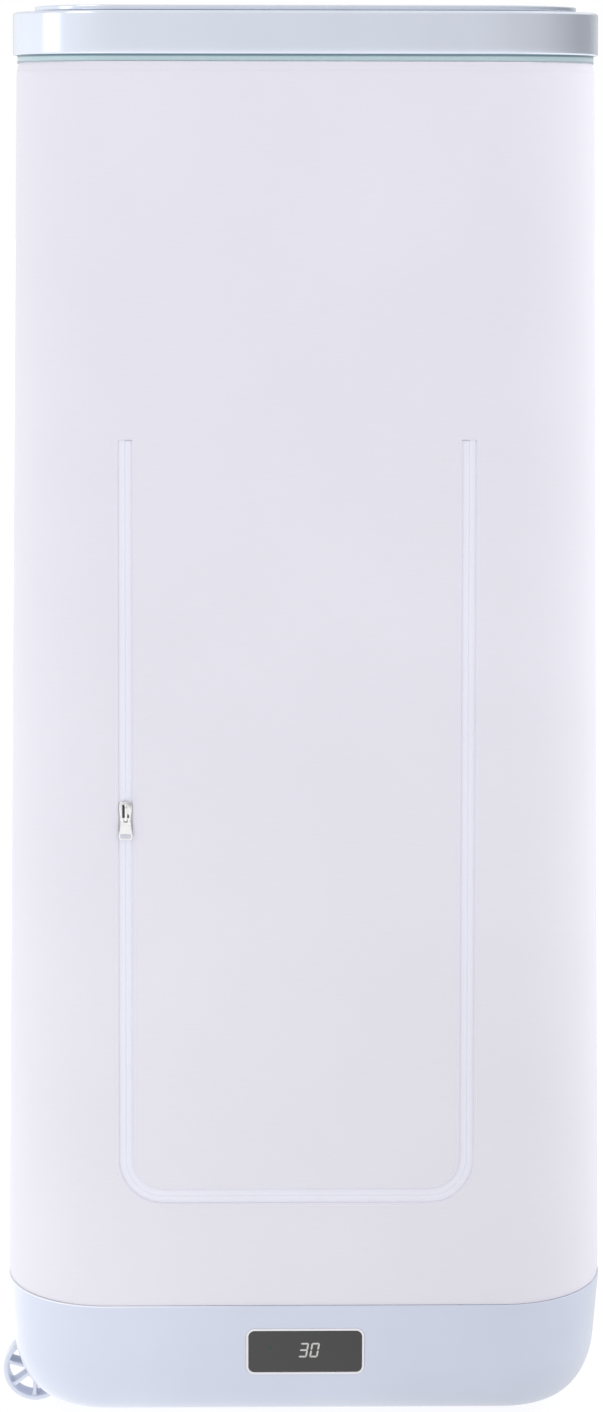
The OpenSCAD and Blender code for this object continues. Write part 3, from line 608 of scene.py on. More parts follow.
WINDOW_FRONT = -0.2 * MM
WINDOW_EDGE_R = 0.5 * MM
WINDOW_GAP = 0.2 * MM
BEZEL_PROUD, BEZEL_R, BEZEL_SLOPE, BEZEL_SEAT = 0.6 * MM, 0.7 * MM, 0.4 * MM, 4.2 * MM
BEZEL_UNDER = 5 * MM
GLASS_BACK, BEZEL_LEDGE = 2.3 * MM, 2.6 * MM
SEGMENTS = {"3": "abcdg", "0": "abcdef"}
DIGIT_W, DIGIT_H, STROKE, SLANT = 8.3 * MM, 15.2 * MM, 1.7 * MM, 0.17
DIGIT_PITCH, NUMBER_X, NUMBER_Z = 10.7 * MM, 3.9 * MM, 1.5 * MM
LAMP_X, LAMP_Z, LAMP_R = -35 * MM, 4.2 * MM, 2.6 * MM
PRINT_FRONT, PRINT_BACK = WINDOW_FRONT - 0.06 * MM, WINDOW_FRONT + 0.1 * MM


def tilt(obj):
    """Turns a piece made about the origin, with its face at -Y, into the display's place on the wall."""
    lean = math.atan(DRAFT / (RIM_Z - BASE_LOW))
    y = -(BASE_D / 2 - lean_in(DISPLAY_Z))
    c, s = math.cos(lean), math.sin(lean)
    for v in obj.data.vertices:
        v.co = (v.co.x, y + v.co.y * c - v.co.z * s, DISPLAY_Z + v.co.y * s + v.co.z * c)
    return obj


def display_outline(grow):
    arcs = corners(DISPLAY_W + 2 * grow, DISPLAY_H + 2 * grow, DISPLAY_R + grow, 12)
    return [p for arc in arcs for p in arc]


def cutter_front_window():
    return tilt(prism("cut_window", display_outline(DISPLAY_RIM + WINDOW_GAP), -5 * MM, 12 * MM, "y"))


def make_display():
    section = [(-BEZEL_UNDER, BEZEL_SEAT), (DISPLAY_RIM, BEZEL_SEAT)]
    section += arc_points(DISPLAY_RIM - BEZEL_R, BEZEL_R - BEZEL_PROUD, BEZEL_R, 0, -90)
    section += [(WINDOW_GAP + BEZEL_SLOPE * (1 - t), BEZEL_SLOPE * t - BEZEL_PROUD) for t in (0, 0.5, 1)]
    section += [(WINDOW_GAP, BEZEL_LEDGE), (-BEZEL_UNDER, BEZEL_LEDGE)]
    bezel = layered("display_bezel_rim", [(display_outline(e), y) for e, y in section], closed=True)
    settle(tilt(bezel), "base_shell", "display_bezel", look="display_rim")
    section = [(0, GLASS_BACK)]
    section += arc_points(-WINDOW_EDGE_R, WINDOW_FRONT + WINDOW_EDGE_R, WINDOW_EDGE_R, 0, -90, 4)
    window = layered("display_window_glass", [(display_outline(e), y) for e, y in section])
    settle(tilt(window), "window", "display_window")
    make_digits()


def segment_points(key, w, h, t):
    """Outline of one segment of a seven-segment digit, centred on the origin."""
    gap, half = 0.25 * MM, t / 2
    level = key in "adg"
    reach = w / 2 - gap if level else h / 4 - gap
    bar = [(-reach, 0), (half - reach, half), (reach - half, half)]
    bar += [(-u, -v) for u, v in bar]
    if level:
        z = {"a": h / 2 - half, "g": 0, "d": half - h / 2}[key]
        return [(u, z + v) for u, v in bar]
    x = (w / 2 - half) * (1 if key in "bc" else -1)
    z = h / 4 * (1 if key in "bf" else -1)
    return [(x + v, z + u) for u, v in bar]


def make_digits():
    """The number on the display and the small lamp left of it, just proud of the window."""
    segments = []
    for k, digit in enumerate("30"):
        for key in SEGMENTS[digit]:
            points = [(x + NUMBER_X + (k - 0.5) * DIGIT_PITCH + z * SLANT, z + NUMBER_Z)
                      for x, z in segment_points(key, DIGIT_W, DIGIT_H, STROKE)]
            segments.append(paint(prism("segment", points, PRINT_FRONT, PRINT_BACK, "y"), "display_digits"))
    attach(tilt(join("display_digits", segments)), "root")
    lamp = [(circle_points(LAMP_X, LAMP_Z, LAMP_R * k, 32), y)
            for k, y in ((1.0, PRINT_BACK), (1.0, WINDOW_FRONT - 0.01 * MM), (0.9, PRINT_FRONT))]
    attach(paint(tilt(layered("display_indicator", lamp)), "display_indicator"), "root")


# ------------------------------------------------------------------ lid


def make_lid():
    """The lid's skirt and roof, open below."""
    outside = arc_points(LID_LOW_R, LID_LOW + LID_LOW_R, LID_LOW_R, 270, 180, 4)
    outside += [(0, LID_LOW + (LID_TOP - LID_LOW) * k / 4) for k in (1, 2, 3)]
    outside += arc_points(LID_EDGE_R, LID_TOP - LID_EDGE_R, LID_EDGE_R, 180, 90, 8)
    inside = [(WALL - 0.5 * MM, LID_LOW), (WALL, LID_LOW + 0.5 * MM), (WALL, LID_TOP - WALL)]
    lid = ring_shell("lid_moulding", outside[::-1] + inside, LID_W, LID_D, CORNER_R)
    settle(lid, "lid_shell", "lid_shell")


def make_top_panel():
    r, low = PANEL_EDGE_R, PANEL_TOP - PANEL_T
    edge = arc_points(r, low + r, r, 270, 180, 4) + arc_points(r, PANEL_TOP - r, r, 180, 90, 4)
    panel = ring_shell("lid_top_plate", edge, PANEL_W, PANEL_D, CORNER_R - (LID_W - PANEL_W) / 2)
    x, y = PANEL_W / 2 - POST_IN, PANEL_D / 2 - POST_IN
    places = [(-x, -y), (-x, y), (x, -y), (x, y)]
    posts = [circle_points(*place, POST_R) for place in places]
    combine(panel, [prism("post", post, PANEL_LOW, low + 0.5 * MM) for post in posts])
    edit(panel.data, 35.0, weld)
    settle(panel, "lid_shell", "lid_top_panel")


# ------------------------------------------------------------------ cloth: one surface for cover and flap

NOTCH_TOP = DOOR_TOP + 12 * MM
FOLD_STEPS = [0, 0.35, 0.8, 1.5, 2.1, 2.6, 3.1, 5.5]
SEAM_STEPS = [0, 1.2, 2.6, 6.0, 8.0, 9.6]
TOP_ROLL, LOW_ROLL = 15 * MM, 4.5 * MM
WAVES = {"front": 0.0, "back": 2.1, "left": 4.0, "right": 5.3}


def half_width(z):
    return COVER_W / 2 - COVER_TAPER * (z - COVER_LOW) / COVER_H


def reach(side, z):
    """How far a side of the cover runs each way from its middle at heights z, along the cloth."""
    if side in ("left", "right"):
        return np.full_like(np.asarray(z, float), SEAM_Y)
    return half_width(z) - CORNER_R + CORNER_R * math.pi / 2


def edge_at(side, z):
    """The same at a single height, as a number."""
    return float(reach(side, z))


def smooth(t):
    """0 to 1 with soft ends."""
    t = np.clip(t, 0, 1)
    return t * t * (3 - 2 * t)


def from_zip(x, z):
    """Distance to the zip line, negative inside the door."""
    mid, half = (DOOR_LEFT + DOOR_RIGHT) / 2, (DOOR_RIGHT - DOOR_LEFT) / 2
    qx = np.abs(x - mid) - (half - ZIP_R)
    qz = DOOR_LOW + ZIP_R - z
    return np.hypot(np.maximum(qx, 0), np.maximum(qz, 0)) + np.minimum(np.maximum(qx, qz), 0) - ZIP_R


def from_slot(x, z):
    """Distance to the edge of the slot that the zip lies in, also above its square upper ends."""
    beside = np.maximum(np.abs(from_zip(x, z)) - SLOT_W / 2, 0)
    return np.where(z > DOOR_TOP, np.hypot(beside, z - DOOR_TOP), beside)


def relief(side, s, z):
    """How far the outer face stands out or lies back: rolled ends, felled seams, folded zip edges, tension."""
    top = (z - (COVER_HIGH - TOP_ROLL)) / TOP_ROLL
    low = (COVER_LOW + LOW_ROLL - z) / LOW_ROLL
    lift = -2.2 * MM * np.clip(top, 0, 1) ** 2 - 0.3 * MM * np.clip(low, 0, 1) ** 2
    edge = reach(side, z) - np.abs(s)
    if side in ("front", "back"):
        lift += 0.5 * MM * (1 - smooth((edge - 8.0 * MM) / (1.6 * MM)))
    calm = smooth(np.minimum(edge, np.minimum(z - COVER_LOW, COVER_HIGH - z)) / (60 * MM))
    k = WAVES[side]
    wave = np.sin(9 * z + 3 * s + k) * np.sin(7 * s + 2 * z + 1.7 * k)
    wave += 0.6 * np.sin(17 * z - 11 * s + 2.3 * k)
    if side == "front":
        e = from_slot(s, z)
        lift += -0.3 * MM * (1 - smooth(e / (0.8 * MM)))
        lift += -0.12 * MM * np.exp(-((e - 2.6 * MM) / (0.45 * MM)) ** 2)
        calm = calm * smooth(e / (90 * MM))
    return lift + 0.35 * MM * calm * wave


def on_cover(side, s, z, lift):
    """Points of a side of the cover, raised by lift from its plain outer face."""
    s, z = np.asarray(s, float), np.asarray(z, float)
    if side in ("front", "back"):
        flat = half_width(z) - CORNER_R
        a = np.clip(np.abs(s) - flat, 0, None) / CORNER_R
        nx, ny = np.sign(s) * np.sin(a), -np.cos(a)
        x, y = np.clip(s, -flat, flat) + nx * CORNER_R, -(COVER_D / 2 - CORNER_R) + ny * CORNER_R
    else:
        nx, ny = np.full_like(s, -1.0), np.zeros_like(s)
        x, y = -half_width(z), -s
    turn = -1 if side in ("back", "right") else 1
    return np.stack((turn * (x + nx * lift), turn * (y + ny * lift), z), 1)


def cloth_solid(name, side, flat, faces, thick=CLOTH_T):
    """A closed sheet of cloth on flat points (s, z), with its cut area in square metres."""
    s, z = flat[:, 0], flat[:, 1]
    lift = relief(side, s, z)
    outer = on_cover(side, s, z, lift)
    inner = on_cover(side, s, z, lift - thick)
    used = {pair: True for f in faces for pair in zip(f, (*f[1:], f[0]))}
    rim = [(a, b) for a, b in used if (b, a) not in used]
    n = len(flat)
    solid = [tuple(f) for f in faces] + [tuple(n + i for i in f[::-1]) for f in faces]
    solid += [(b, a, n + a, n + b) for a, b in rim]
    mesh = bpy.data.meshes.new(name)
    mesh.from_pydata(np.concatenate((outer, inner)).tolist(), [], solid)
    uv = mesh.uv_layers.new(name="cloth")
    corner = np.empty(len(mesh.loops), int)
    mesh.loops.foreach_get("vertex_index", corner)
    uv.data.foreach_set("uv", flat[corner % n].astype(np.float32).ravel())
    edit(mesh, 50.0)
    area = sum(abs(shoelace([flat[i] for i in f])) for f in faces)
    return new_object(name, mesh), area


def shoelace(points):
    return sum(a[0] * b[1] - b[0] * a[1] for a, b in zip(points, [*points[1:], points[0]])) / 2


def rows_of(low, high, pitch, low_steps, high_steps):
    """Heights from low to high: close together at both ends, about the pitch apart between."""
    bottom = [low + e * MM for e in low_steps]
    top = [high - e * MM for e in high_steps][::-1]
    gap = top[0] - bottom[-1]
    n = max(1, round(gap / pitch))
    return np.array(bottom + [bottom[-1] + gap * k / n for k in range(1, n)] + top)


TOP_STEPS = [0, 2, 4.5, 7.5, 11, 15]
LOW_STEPS = [0, 1.2, 2.6, 4.5, 7]


def grid_sheet(name, side, pitch=9 * MM):
    """A whole side of the cover as a net of squares."""
    zs = rows_of(COVER_LOW, COVER_HIGH, pitch, LOW_STEPS, TOP_STEPS)
    width = edge_at(side, COVER_LOW)
    ss = rows_of(-width, width, pitch, SEAM_STEPS, SEAM_STEPS)
    share = np.clip(np.abs(ss) / (width - 10 * MM), 0, 1)
    flat = []
    for z in zs:
        narrower = width - edge_at(side, z)
        flat += [(np.sign(v) * (abs(v) - narrower * k), z) for v, k in zip(ss, share)]
    n = len(ss)
    faces = [(i * n + j, i * n + j + 1, (i + 1) * n + j + 1, (i + 1) * n + j)
             for i in range(len(zs) - 1) for j in range(n - 1)]
    return cloth_solid(name, side, np.array(flat), faces)


def door_path(e, top, pitch=6 * MM, arc=18):
    """Points of the U at distance e outside the zip line, from its left upper end round to its right one."""
    low = DOOR_LOW + ZIP_R
    n = round((top - low) / pitch)
    points = [(DOOR_LEFT - e, top + (low - top) * k / n) for k in range(n)]
    points += arc_points(DOOR_LEFT + ZIP_R, low, ZIP_R + e, 180, 270, arc)
    x0, x1 = points[-1][0], DOOR_RIGHT - ZIP_R
    m = round((x1 - x0) / pitch)
    points += [(x0 + (x1 - x0) * k / m, DOOR_LOW - e) for k in range(1, m)]
    points += arc_points(x1, low, ZIP_R + e, 270, 360, arc)
    return points + [(DOOR_RIGHT + e, low + (top - low) * k / n) for k in range(1, n + 1)]


def triangulate(points, chains, keep):
    """Triangles on flat points, along closed chains of points, where keep says that there is cloth."""
    verts, index = [], {}

    def at(p):
        key = (round(p[0] * 1e6), round(p[1] * 1e6))
        if key not in index:
            index[key] = len(verts)
            verts.append(Vector(p))
        return index[key]

    edges = []
    for chain in chains:
        ids = [at(p) for p in chain]
        edges += [(a, b) for a, b in zip(ids, ids[1:] + ids[:1]) if a != b]
    for p in points:
        at(p)
    out, _, faces, *_ = geometry.delaunay_2d_cdt(verts, edges, [], 0, 1e-7)
    flat = np.array([tuple(v) for v in out])
    faces = np.array([f for f in faces if len(f) == 3])
    mid = flat[faces].mean(axis=1)
    faces = faces[keep(mid[:, 0], mid[:, 1])]
    used, faces = np.unique(faces, return_inverse=True)
    faces = faces.reshape(-1, 3)
    flat = flat[used]
    a, b, c = (flat[faces[:, i]] for i in range(3))
    ab, ac = b - a, c - a
    turn = ab[:, 0] * ac[:, 1] - ab[:, 1] * ac[:, 0]
    faces[turn < 0] = faces[turn < 0][:, ::-1]
    return flat, [tuple(int(i) for i in f) for f in faces]


def staggered(zs, reach_of, pitch):
    """Points in staggered rows between -reach and reach."""
    points = []
    for k, z in enumerate(zs):
        r = reach_of(z)
        n = max(2, round(2 * r / pitch))
        shift = 0.5 if k % 2 else 0.0
        points += [(-r + 2 * r * (i + shift) / n, z) for i in range(n + 1) if i + shift <= n]
    return np.array(points)


def front_sheet():
    half = SLOT_W / 2
    zs = rows_of(COVER_LOW, COVER_HIGH, 9 * MM, LOW_STEPS, TOP_STEPS)

    def plain(z):
        return edge_at("front", z) - 13 * MM

    inner = staggered(zs[1:-1], plain, 9 * MM)
    away = from_slot(inner[:, 0], inner[:, 1])
    x, z = inner[:, 0], inner[:, 1]
    near_notch = (np.abs(z - NOTCH_TOP) < 4 * MM) & (x > FLAP_LEFT - 5 * MM) & (x < FLAP_RIGHT + 5 * MM)
    inner = inner[(away > 9.5 * MM) & ~near_notch]
    edge = [(sign * (edge_at("front", z) - e * MM), z) for z in zs for e in SEAM_STEPS[1:] for sign in (-1, 1)]
    ends = [(p, z) for z in (zs[0], zs[-1]) for p in np.linspace(-plain(z), plain(z), 78)]
    right = [(edge_at("front", z), z) for z in zs]
    left = [(-s, z) for s, z in right[::-1]]
    border = left[-1:] + sorted(p for p in edge + ends if p[1] == zs[0]) + right
    border += sorted((p for p in edge + ends if p[1] == zs[-1]), reverse=True) + left[:-1]
    quarters = [SLOT_W * k / 4 for k in range(4)]
    rings = []
    for e in FOLD_STEPS[1:]:
        top = DOOR_TOP + e * MM
        rings += [(FLAP_LEFT - q, top) for q in quarters] + door_path(half + e * MM, top)
        rings += [(FLAP_RIGHT + q, top) for q in quarters]
    hole = door_path(half, DOOR_TOP) + [(FLAP_RIGHT + q, DOOR_TOP) for q in quarters[:0:-1]]
    hole += flap_neck() + [(FLAP_LEFT - q, DOOR_TOP) for q in quarters[1:]]

    def keep(x, z):
        in_door = (from_zip(x, z) < half) & (z < DOOR_TOP)
        in_notch = (x > FLAP_LEFT) & (x < FLAP_RIGHT) & (z >= DOOR_TOP) & (z < NOTCH_TOP)
        return ~in_door & ~in_notch & (np.abs(x) < reach("front", z))

    flat, faces = triangulate([*inner.tolist(), *edge, *rings], [border, hole], keep)
    return cloth_solid("cover_front", "front", flat, faces)


def flap_neck():
    """The line where the flap's cloth passes into the cover's above the hinge, from right to left."""
    rise = [DOOR_TOP + e * MM for e in (0, *FOLD_STEPS[1:], 8.5, 12)]
    across = np.linspace(FLAP_RIGHT, FLAP_LEFT, 37)[1:-1]
    right, left = [(FLAP_RIGHT, z) for z in rise], [(FLAP_LEFT, z) for z in rise[::-1]]
    return right + [(x, NOTCH_TOP) for x in across] + left


def flap_sheet():
    half = SLOT_W / 2
    bend_low, bend_high = DOOR_TOP - 34 * MM, DOOR_TOP + 8 * MM
    zs = rows_of(DOOR_LOW, NOTCH_TOP, 9 * MM, [9], [0, 3.5])[:-1]

    def wide(z):
        return 190 * MM

    inner = staggered(zs, wide, 9 * MM)
    fine = staggered(np.linspace(bend_low, bend_high, 15), wide, 9 * MM)
    inner = np.concatenate((inner[inner[:, 1] < bend_low - 2 * MM], fine))
    x, z = inner[:, 0], inner[:, 1]
    inside = (x > FLAP_LEFT + 9 * MM) & (x < FLAP_RIGHT - 9 * MM)
    inner = inner[inside & (from_zip(x, z) < -half - 9 * MM)]
    rings = []
    for e in FOLD_STEPS[1:]:
        rings += door_path(-half - e * MM, bend_high)
    border = door_path(-half, DOOR_TOP) + flap_neck()[1:-1]

    def keep(x, z):
        below = (from_zip(x, z) < -half) & (z < DOOR_TOP)
        return below | ((x > FLAP_LEFT) & (x < FLAP_RIGHT) & (z >= DOOR_TOP) & (z < NOTCH_TOP))

    flat, faces = triangulate([*inner.tolist(), *rings], [border], keep)
    return cloth_solid("door_flap_cloth", "front", flat, faces)


STITCH_PROFILE = ((-0.5, -0.1 * MM), (-0.27, 0.13 * MM), (0.27, 0.13 * MM), (0.5, -0.1 * MM))


def stitches(name, rows, pitch=3.2 * MM, length=2.3 * MM, thread=0.19 * MM):
    """Sewn rows. Each row is a side of the cover with flat points (s, z) along it."""
    around = circle_points(0, 0, thread, 5)
    many = []
    for side, path in rows:
        path = np.array(path, float)
        run = distance_run(path)
        centres = np.arange(pitch, run[-1] - pitch / 2, pitch)
        lines = []
        for offset, lift in STITCH_PROFILE:
            s, z = sampled(path, run, centres + offset * length)
            lines.append(on_cover(side, s, z, relief(side, s, z) + lift))
        along = lines[3] - lines[0]
        along /= np.linalg.norm(along, axis=1)[:, None]
        s, z = sampled(path, run, centres)
        out = on_cover(side, s, z, np.full_like(s, 1.0)) - on_cover(side, s, z, np.zeros_like(s))
        across = np.cross(along, out)
        many += [[[line[k] + u * across[k] + v * out[k] for u, v in around] for line in lines]
                 for k in range(len(centres))]
    return new_object(name, tubes(name, many))


def distance_run(path):
    """The distance run at each point of a path."""
    return np.concatenate(([0], np.cumsum(np.hypot(*np.diff(path, axis=0).T))))


def sampled(values, run, at):
    """Both columns of the values of a path's points, at distances between the points."""
    return np.interp(at, run, values[:, 0]), np.interp(at, run, values[:, 1])


HEMS = ["cover_top_hem", "cover_bottom_hem"]


def bend_with_flap(obj):
    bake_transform(obj)


def make_panel(side):
    panel, area = front_sheet() if side == "front" else grid_sheet("cover_" + side, side)
    settle(panel, "cover_fabric", f"cover_{side}_panel")
    size = (2 * edge_at(side, COVER_LOW), COVER_H)


def make_flap():
    flap, area = flap_sheet()
    dress(flap, "cover_fabric")
    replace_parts(flap, "door_flap")
    bend_with_flap(flap)


def make_cover():
    make_panel("front")
    make_flap()
    for side in ("back", "left", "right"):
        make_panel(side)
    make_seams()


def make_seams():
    """Two rows down each felled seam, one below the neck band and one along each edge of the zip."""
    edge_e, upper_z = 2.6 * MM, COVER_HIGH - 9 * MM
    zs = np.linspace(COVER_LOW + 6 * MM, COVER_HIGH - 2 * MM, 60)
    rows = [(side, [(sign * (edge_at(side, z) - e), z) for z in zs])
            for side in ("front", "back") for sign in (-1, 1) for e in (2.6 * MM, 6.0 * MM)]
    for side in WAVES:
        r = edge_at(side, upper_z)
        rows.append((side, [(s, upper_z) for s in np.linspace(-r, r, 60)]))
    settle(stitches("cover_seam_stitches", rows), "cover_fabric", look="sewing_thread")
    outer = [("front", door_path(SLOT_W / 2 + edge_e, DOOR_TOP + edge_e))]
    settle(stitches("zip_edge_stitches", outer), "cover_fabric", look="sewing_thread")
    inner = [("front", door_path(-SLOT_W / 2 - edge_e, DOOR_TOP + 4 * MM))]
    bend_with_flap(dress(stitches("flap_edge_stitches", inner), "cover_fabric", "sewing_thread"))


# ------------------------------------------------------------------ zip

TAPE_FRONT, TAPE_BACK = CLOTH_BACK + 0.02 * MM, CLOTH_BACK + TAPE_T
# The tape's section: millimetres from the zip line, and depth
TAPE_SECTION = [(0.03, TAPE_BACK), (0.02, TAPE_FRONT + 0.1 * MM), (0.12, TAPE_FRONT), (1.4, TAPE_FRONT),
                (2.0, TAPE_FRONT + 0.06 * MM), (5.0, TAPE_FRONT + 0.1 * MM), (9.7, TAPE_FRONT + 0.1 * MM),
                (10.0, TAPE_FRONT + 0.3 * MM), (9.8, TAPE_BACK)]
# A tooth's section, in millimetres along the zip and shares of its depth, and its places as (reach, share)
TOOTH_DEPTH, TOOTH_PITCH = 1.35 * MM, 1.5 * MM
TOOTH_SECTION = [(-0.31, 0.0), (0.31, 0.0), (0.31, 0.75), (0.14, 1.0), (-0.14, 1.0), (-0.31, 0.75)]
TOOTH_PLACES = [(-0.5 * MM, 0.62), (-0.2 * MM, 1.0), (2.2 * MM, 1.0), (2.9 * MM, 0.5)]


def path_frame(top, pitch=4 * MM):
    """Points of the zip line with their outward directions and the distance run."""
    line, outside = (np.array(door_path(e, top, pitch, 24)) for e in (0.0, 1.0))
    return line, outside - line, distance_run(line)


def swept_band(name, section, top):
    """A closed section of (distance from the zip line, y) points, carried along the zip line."""
    line, out, run = path_frame(top)
    rings = [[(p[0] + e * o[0], y, p[1] + e * o[1]) for e, y in section] for p, o in zip(line, out)]
    mesh = tubes(name, [rings])
    uv = mesh.uv_layers.new(name="cloth")
    for loop in mesh.loops:
        i, j = divmod(loop.vertex_index, len(section))
        uv.data[loop.index].uv = (section[j][0], run[i])
    edit(mesh, 50.0, face_out)
    return new_object(name, mesh), run[-1]


def coil_teeth(name, side, top):
    """The coil's loops as rounded bars that reach over the zip line between those of the other half."""
    line, out, run = path_frame(top, 2 * MM)
    at = np.arange(3 * MM + (0.0 if side > 0 else TOOTH_PITCH / 2), run[-1] - 3 * MM, TOOTH_PITCH)
    many = []
    for px, pz, ox, oz in zip(*sampled(line, run, at), *sampled(out, run, at)):
        ox, oz = np.array((ox, oz)) / math.hypot(ox, oz)
        rings = []
        for e, tall in TOOTH_PLACES:
            x, z = px + side * e * ox, pz + side * e * oz
            rings.append([(x + w * MM * oz, TAPE_BACK + h * TOOTH_DEPTH * tall, z - w * MM * ox)
                          for w, h in TOOTH_SECTION])
        many.append(rings)
    return dress(new_object(name, tubes(name, many)), "zip_tape", "zip_coil")


def make_zip():
    """Each half: a woven tape whose free edge is thickened by a cord, with the coil sewn behind it."""
    for side, name, top in ((1, "zip_tape_cover", DOOR_TOP), (-1, "zip_tape_flap", DOOR_TOP - 0.5 * MM)):
        tape, length = swept_band(name + "_woven", [(side * e * MM, y) for e, y in TAPE_SECTION], top)
        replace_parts(dress(tape, "zip_tape"), name)
        teeth = coil_teeth(name + "_teeth", side, top)
        for piece in (tape, teeth):
            if side > 0:
                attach(piece, "root")
            else:
                bend_with_flap(piece)


def join_metal(name, parts, node, body):
    """One piece of the slider from its parts, which keep their own materials."""
    piece = join(name, parts)
    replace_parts(piece, node)
    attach(piece, body)


def cast(name, points, y0, y1, edge):
    """A small casting on an outline in the front view, with rounded edges."""
    piece = prism(name, points, y0, y1, "y")
    bevel(piece, edge)
    return paint(piece, "zip_metal")


def swept_bar(name, path, wide, thick, x, flare):
    """A bar of rounded rectangular section along (y, z) points in a plane of constant x, flared by shares."""
    rings = []
    path = [Vector(p) for p in path]
    for i, p in enumerate(path):
        t = (path[min(i + 1, len(path) - 1)] - path[max(i - 1, 0)]).normalized()
        ring = []
        for cx, cy in circle_points(0, 0, 1, 12):
            u = math.copysign(abs(cx) ** 0.5, cx) * wide * flare[i] / 2
            yz = p + Vector((-t.y, t.x)) * (math.copysign(abs(cy) ** 0.5, cy) * thick / 2)
            ring.append((x + u, yz.x, yz.y))
        rings.append(ring)
    return paint(skin(name, rings, sharp=50.0), "zip_metal")


def make_slider():
    """The slider: a waisted body, the bail over it, a dark piece in the slot beside the bail as painted shade,
    and the plate behind.
    """
    low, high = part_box("zip_slider")
    x, z = middle("zip_pull", 0), middle("zip_slider", 2)
    plate = CLOTH_BACK - 0.3 * MM
    face = plate - 2.5 * MM
    width, height = 12.4 * MM, high[2] - low[2]
    side = [(-0.36, 0.5), (-0.5, 0.36), (-0.5, 0.05), (-0.42, -0.22), (-0.42, -0.42), (-0.34, -0.5)]
    shape = [(x + u * width, z + v * height) for u, v in mirrored(side)]
    body = cast("slider_body", rounded_path(shape[::-1], 2.2 * MM), face, plate, 0.6 * MM)
    slot = [(-3.2, 7.4), (-0.6, 7.4), (-0.6, -4.0), (0.2, -5.2), (1.4, -5.2), (2.0, -4.2),
            (1.9, -2.4), (3.0, -2.0), (3.6, -5.2), (2.6, -7.0), (-0.8, -7.2), (-3.2, -5.4)]
    slot = rounded_path(about(x, z, slot), 0.5 * MM, 3)
    # This dark piece in the slot paints the shade that falls in it
    dark = paint(prism("slider_slot_shade", slot, face + 0.5 * MM, face + 1.25 * MM, "y"), "dark_plastic")
    combine(body, cuts=[prism("slider_slot", slot, face - 1 * MM, face + 1.2 * MM, "y")])
    edit(body.data, 35.0, weld)
    out = low.y + 0.6 * MM
    path = [(face + 0.6 * MM, 8.4), (face - 0.8 * MM, 8.3), (out + 0.9 * MM, 7.6), (out + 0.2 * MM, 6.2),
            (out, 4.0), (out, 0.0), (out, -5.0), (out + 0.2 * MM, -7.0), (out + 1.0 * MM, -8.2),
            (face - 0.9 * MM, -8.5), (face + 0.6 * MM, -8.5)]
    flare = [1.3, 1.2, 1.05, 1, 1, 1, 1, 1, 1.05, 1.2, 1.3]
    path = [(y, z + up * MM) for y, up in path]
    bail = swept_bar("slider_bail", path, 2.4 * MM, 1.2 * MM, x + 0.6 * MM, flare)
    plate_shape = rounded_path(about(x, z, box_points(-0.5, 5, -8, 8)), 1.2 * MM)
    rear = cast("slider_rear", plate_shape, high.y - 1.2 * MM, high.y, 0.3 * MM)
    post_shape = about(x, z, box_points(-0.5, 0.5, 2, 8))
    post = cast("slider_post", post_shape, plate - 0.3 * MM, high.y - 0.6 * MM, 0.12 * MM)
    join_metal("zip_slider_body", [paint(body, "zip_metal"), dark, bail, rear, post], "zip_slider", "slider")
    make_pull(x + 0.2 * MM)


def make_pull(x):
    """The pull: a bar through the bail, two arms and a flared tab with a wide oval hole."""
    pin = span("zip_pull", 2)[1] - 0.8 * MM
    y = middle("zip_pull", 1)

    def shape(points, r, steps=5):
        return rounded_path(about(x, pin, points), r, steps)

    tab = mirrored([(-4.8, -2.7), (-5.2, -8.0), (-6.3, -14.6), (-6.9, -18.2), (-5.6, -20.9)])
    tab = prism("pull_tab", shape(tab, 1.6 * MM), y - 0.7 * MM, y + 0.8 * MM, "y")
    hole = shape(mirrored([(-5.0, -15.3), (-5.5, -18.0), (-4.6, -19.9)]), 1.9 * MM)
    notch = shape(box_points(-1.9, 1.9, -4.0, 0), 0.5 * MM, 3)
    combine(tab, cuts=[prism("pull_hole", cut, y - 2 * MM, y + 2 * MM, "y") for cut in (hole, notch)])
    edit(tab.data, 35.0, weld)
    bevel(tab, 0.4 * MM)
    pad = shape([(-3.9, -6.3), (-4.9, -13.6), (4.9, -13.6), (3.9, -6.3)], 0.8 * MM, 3)
    pad = cast("pull_pad", pad, y - 0.9 * MM, y - 0.5 * MM, 0.15 * MM)
    arms = []
    for k in (-1, 1):
        arm = [(k * 3.3 - 1.0, -4.5), (k * 3.3 + 1.0, -4.5), (k * 2.9 + 0.9, 0.8), (k * 2.9 - 0.9, 0.8)]
        arms.append(cast("pull_arm", shape(arm, 0.6 * MM, 3), y - 0.8 * MM, y + 0.8 * MM, 0.35 * MM))
    rings = []
    for u in (-3.4 + 6.8 * k / 8 for k in range(9)):
        r = (0.8 - 0.12 * math.cos(math.pi * u / 3.4)) * MM
        rings.append([(x + u * MM, b, c) for b, c in circle_points(y, pin, r, 16)])
    bar = paint(skin("pull_bar", rings, sharp=50.0), "zip_metal")
    join_metal("zip_pull_tab", [paint(tab, "zip_metal"), pad, *arms, bar], "zip_pull", "pull")


# ------------------------------------------------------------------ neck band, hems and filter


def ring_size(node):
    """Width, depth and corner radius of a CAD ring that lies evenly inside the base or the cover."""
    low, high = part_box(node)
    w, d = high.x - low.x, high.y - low.y
    inset = BASE_W - w if node == "cover_bottom_hem" else COVER_D - d
    return w, d, CORNER_R - inset / 2


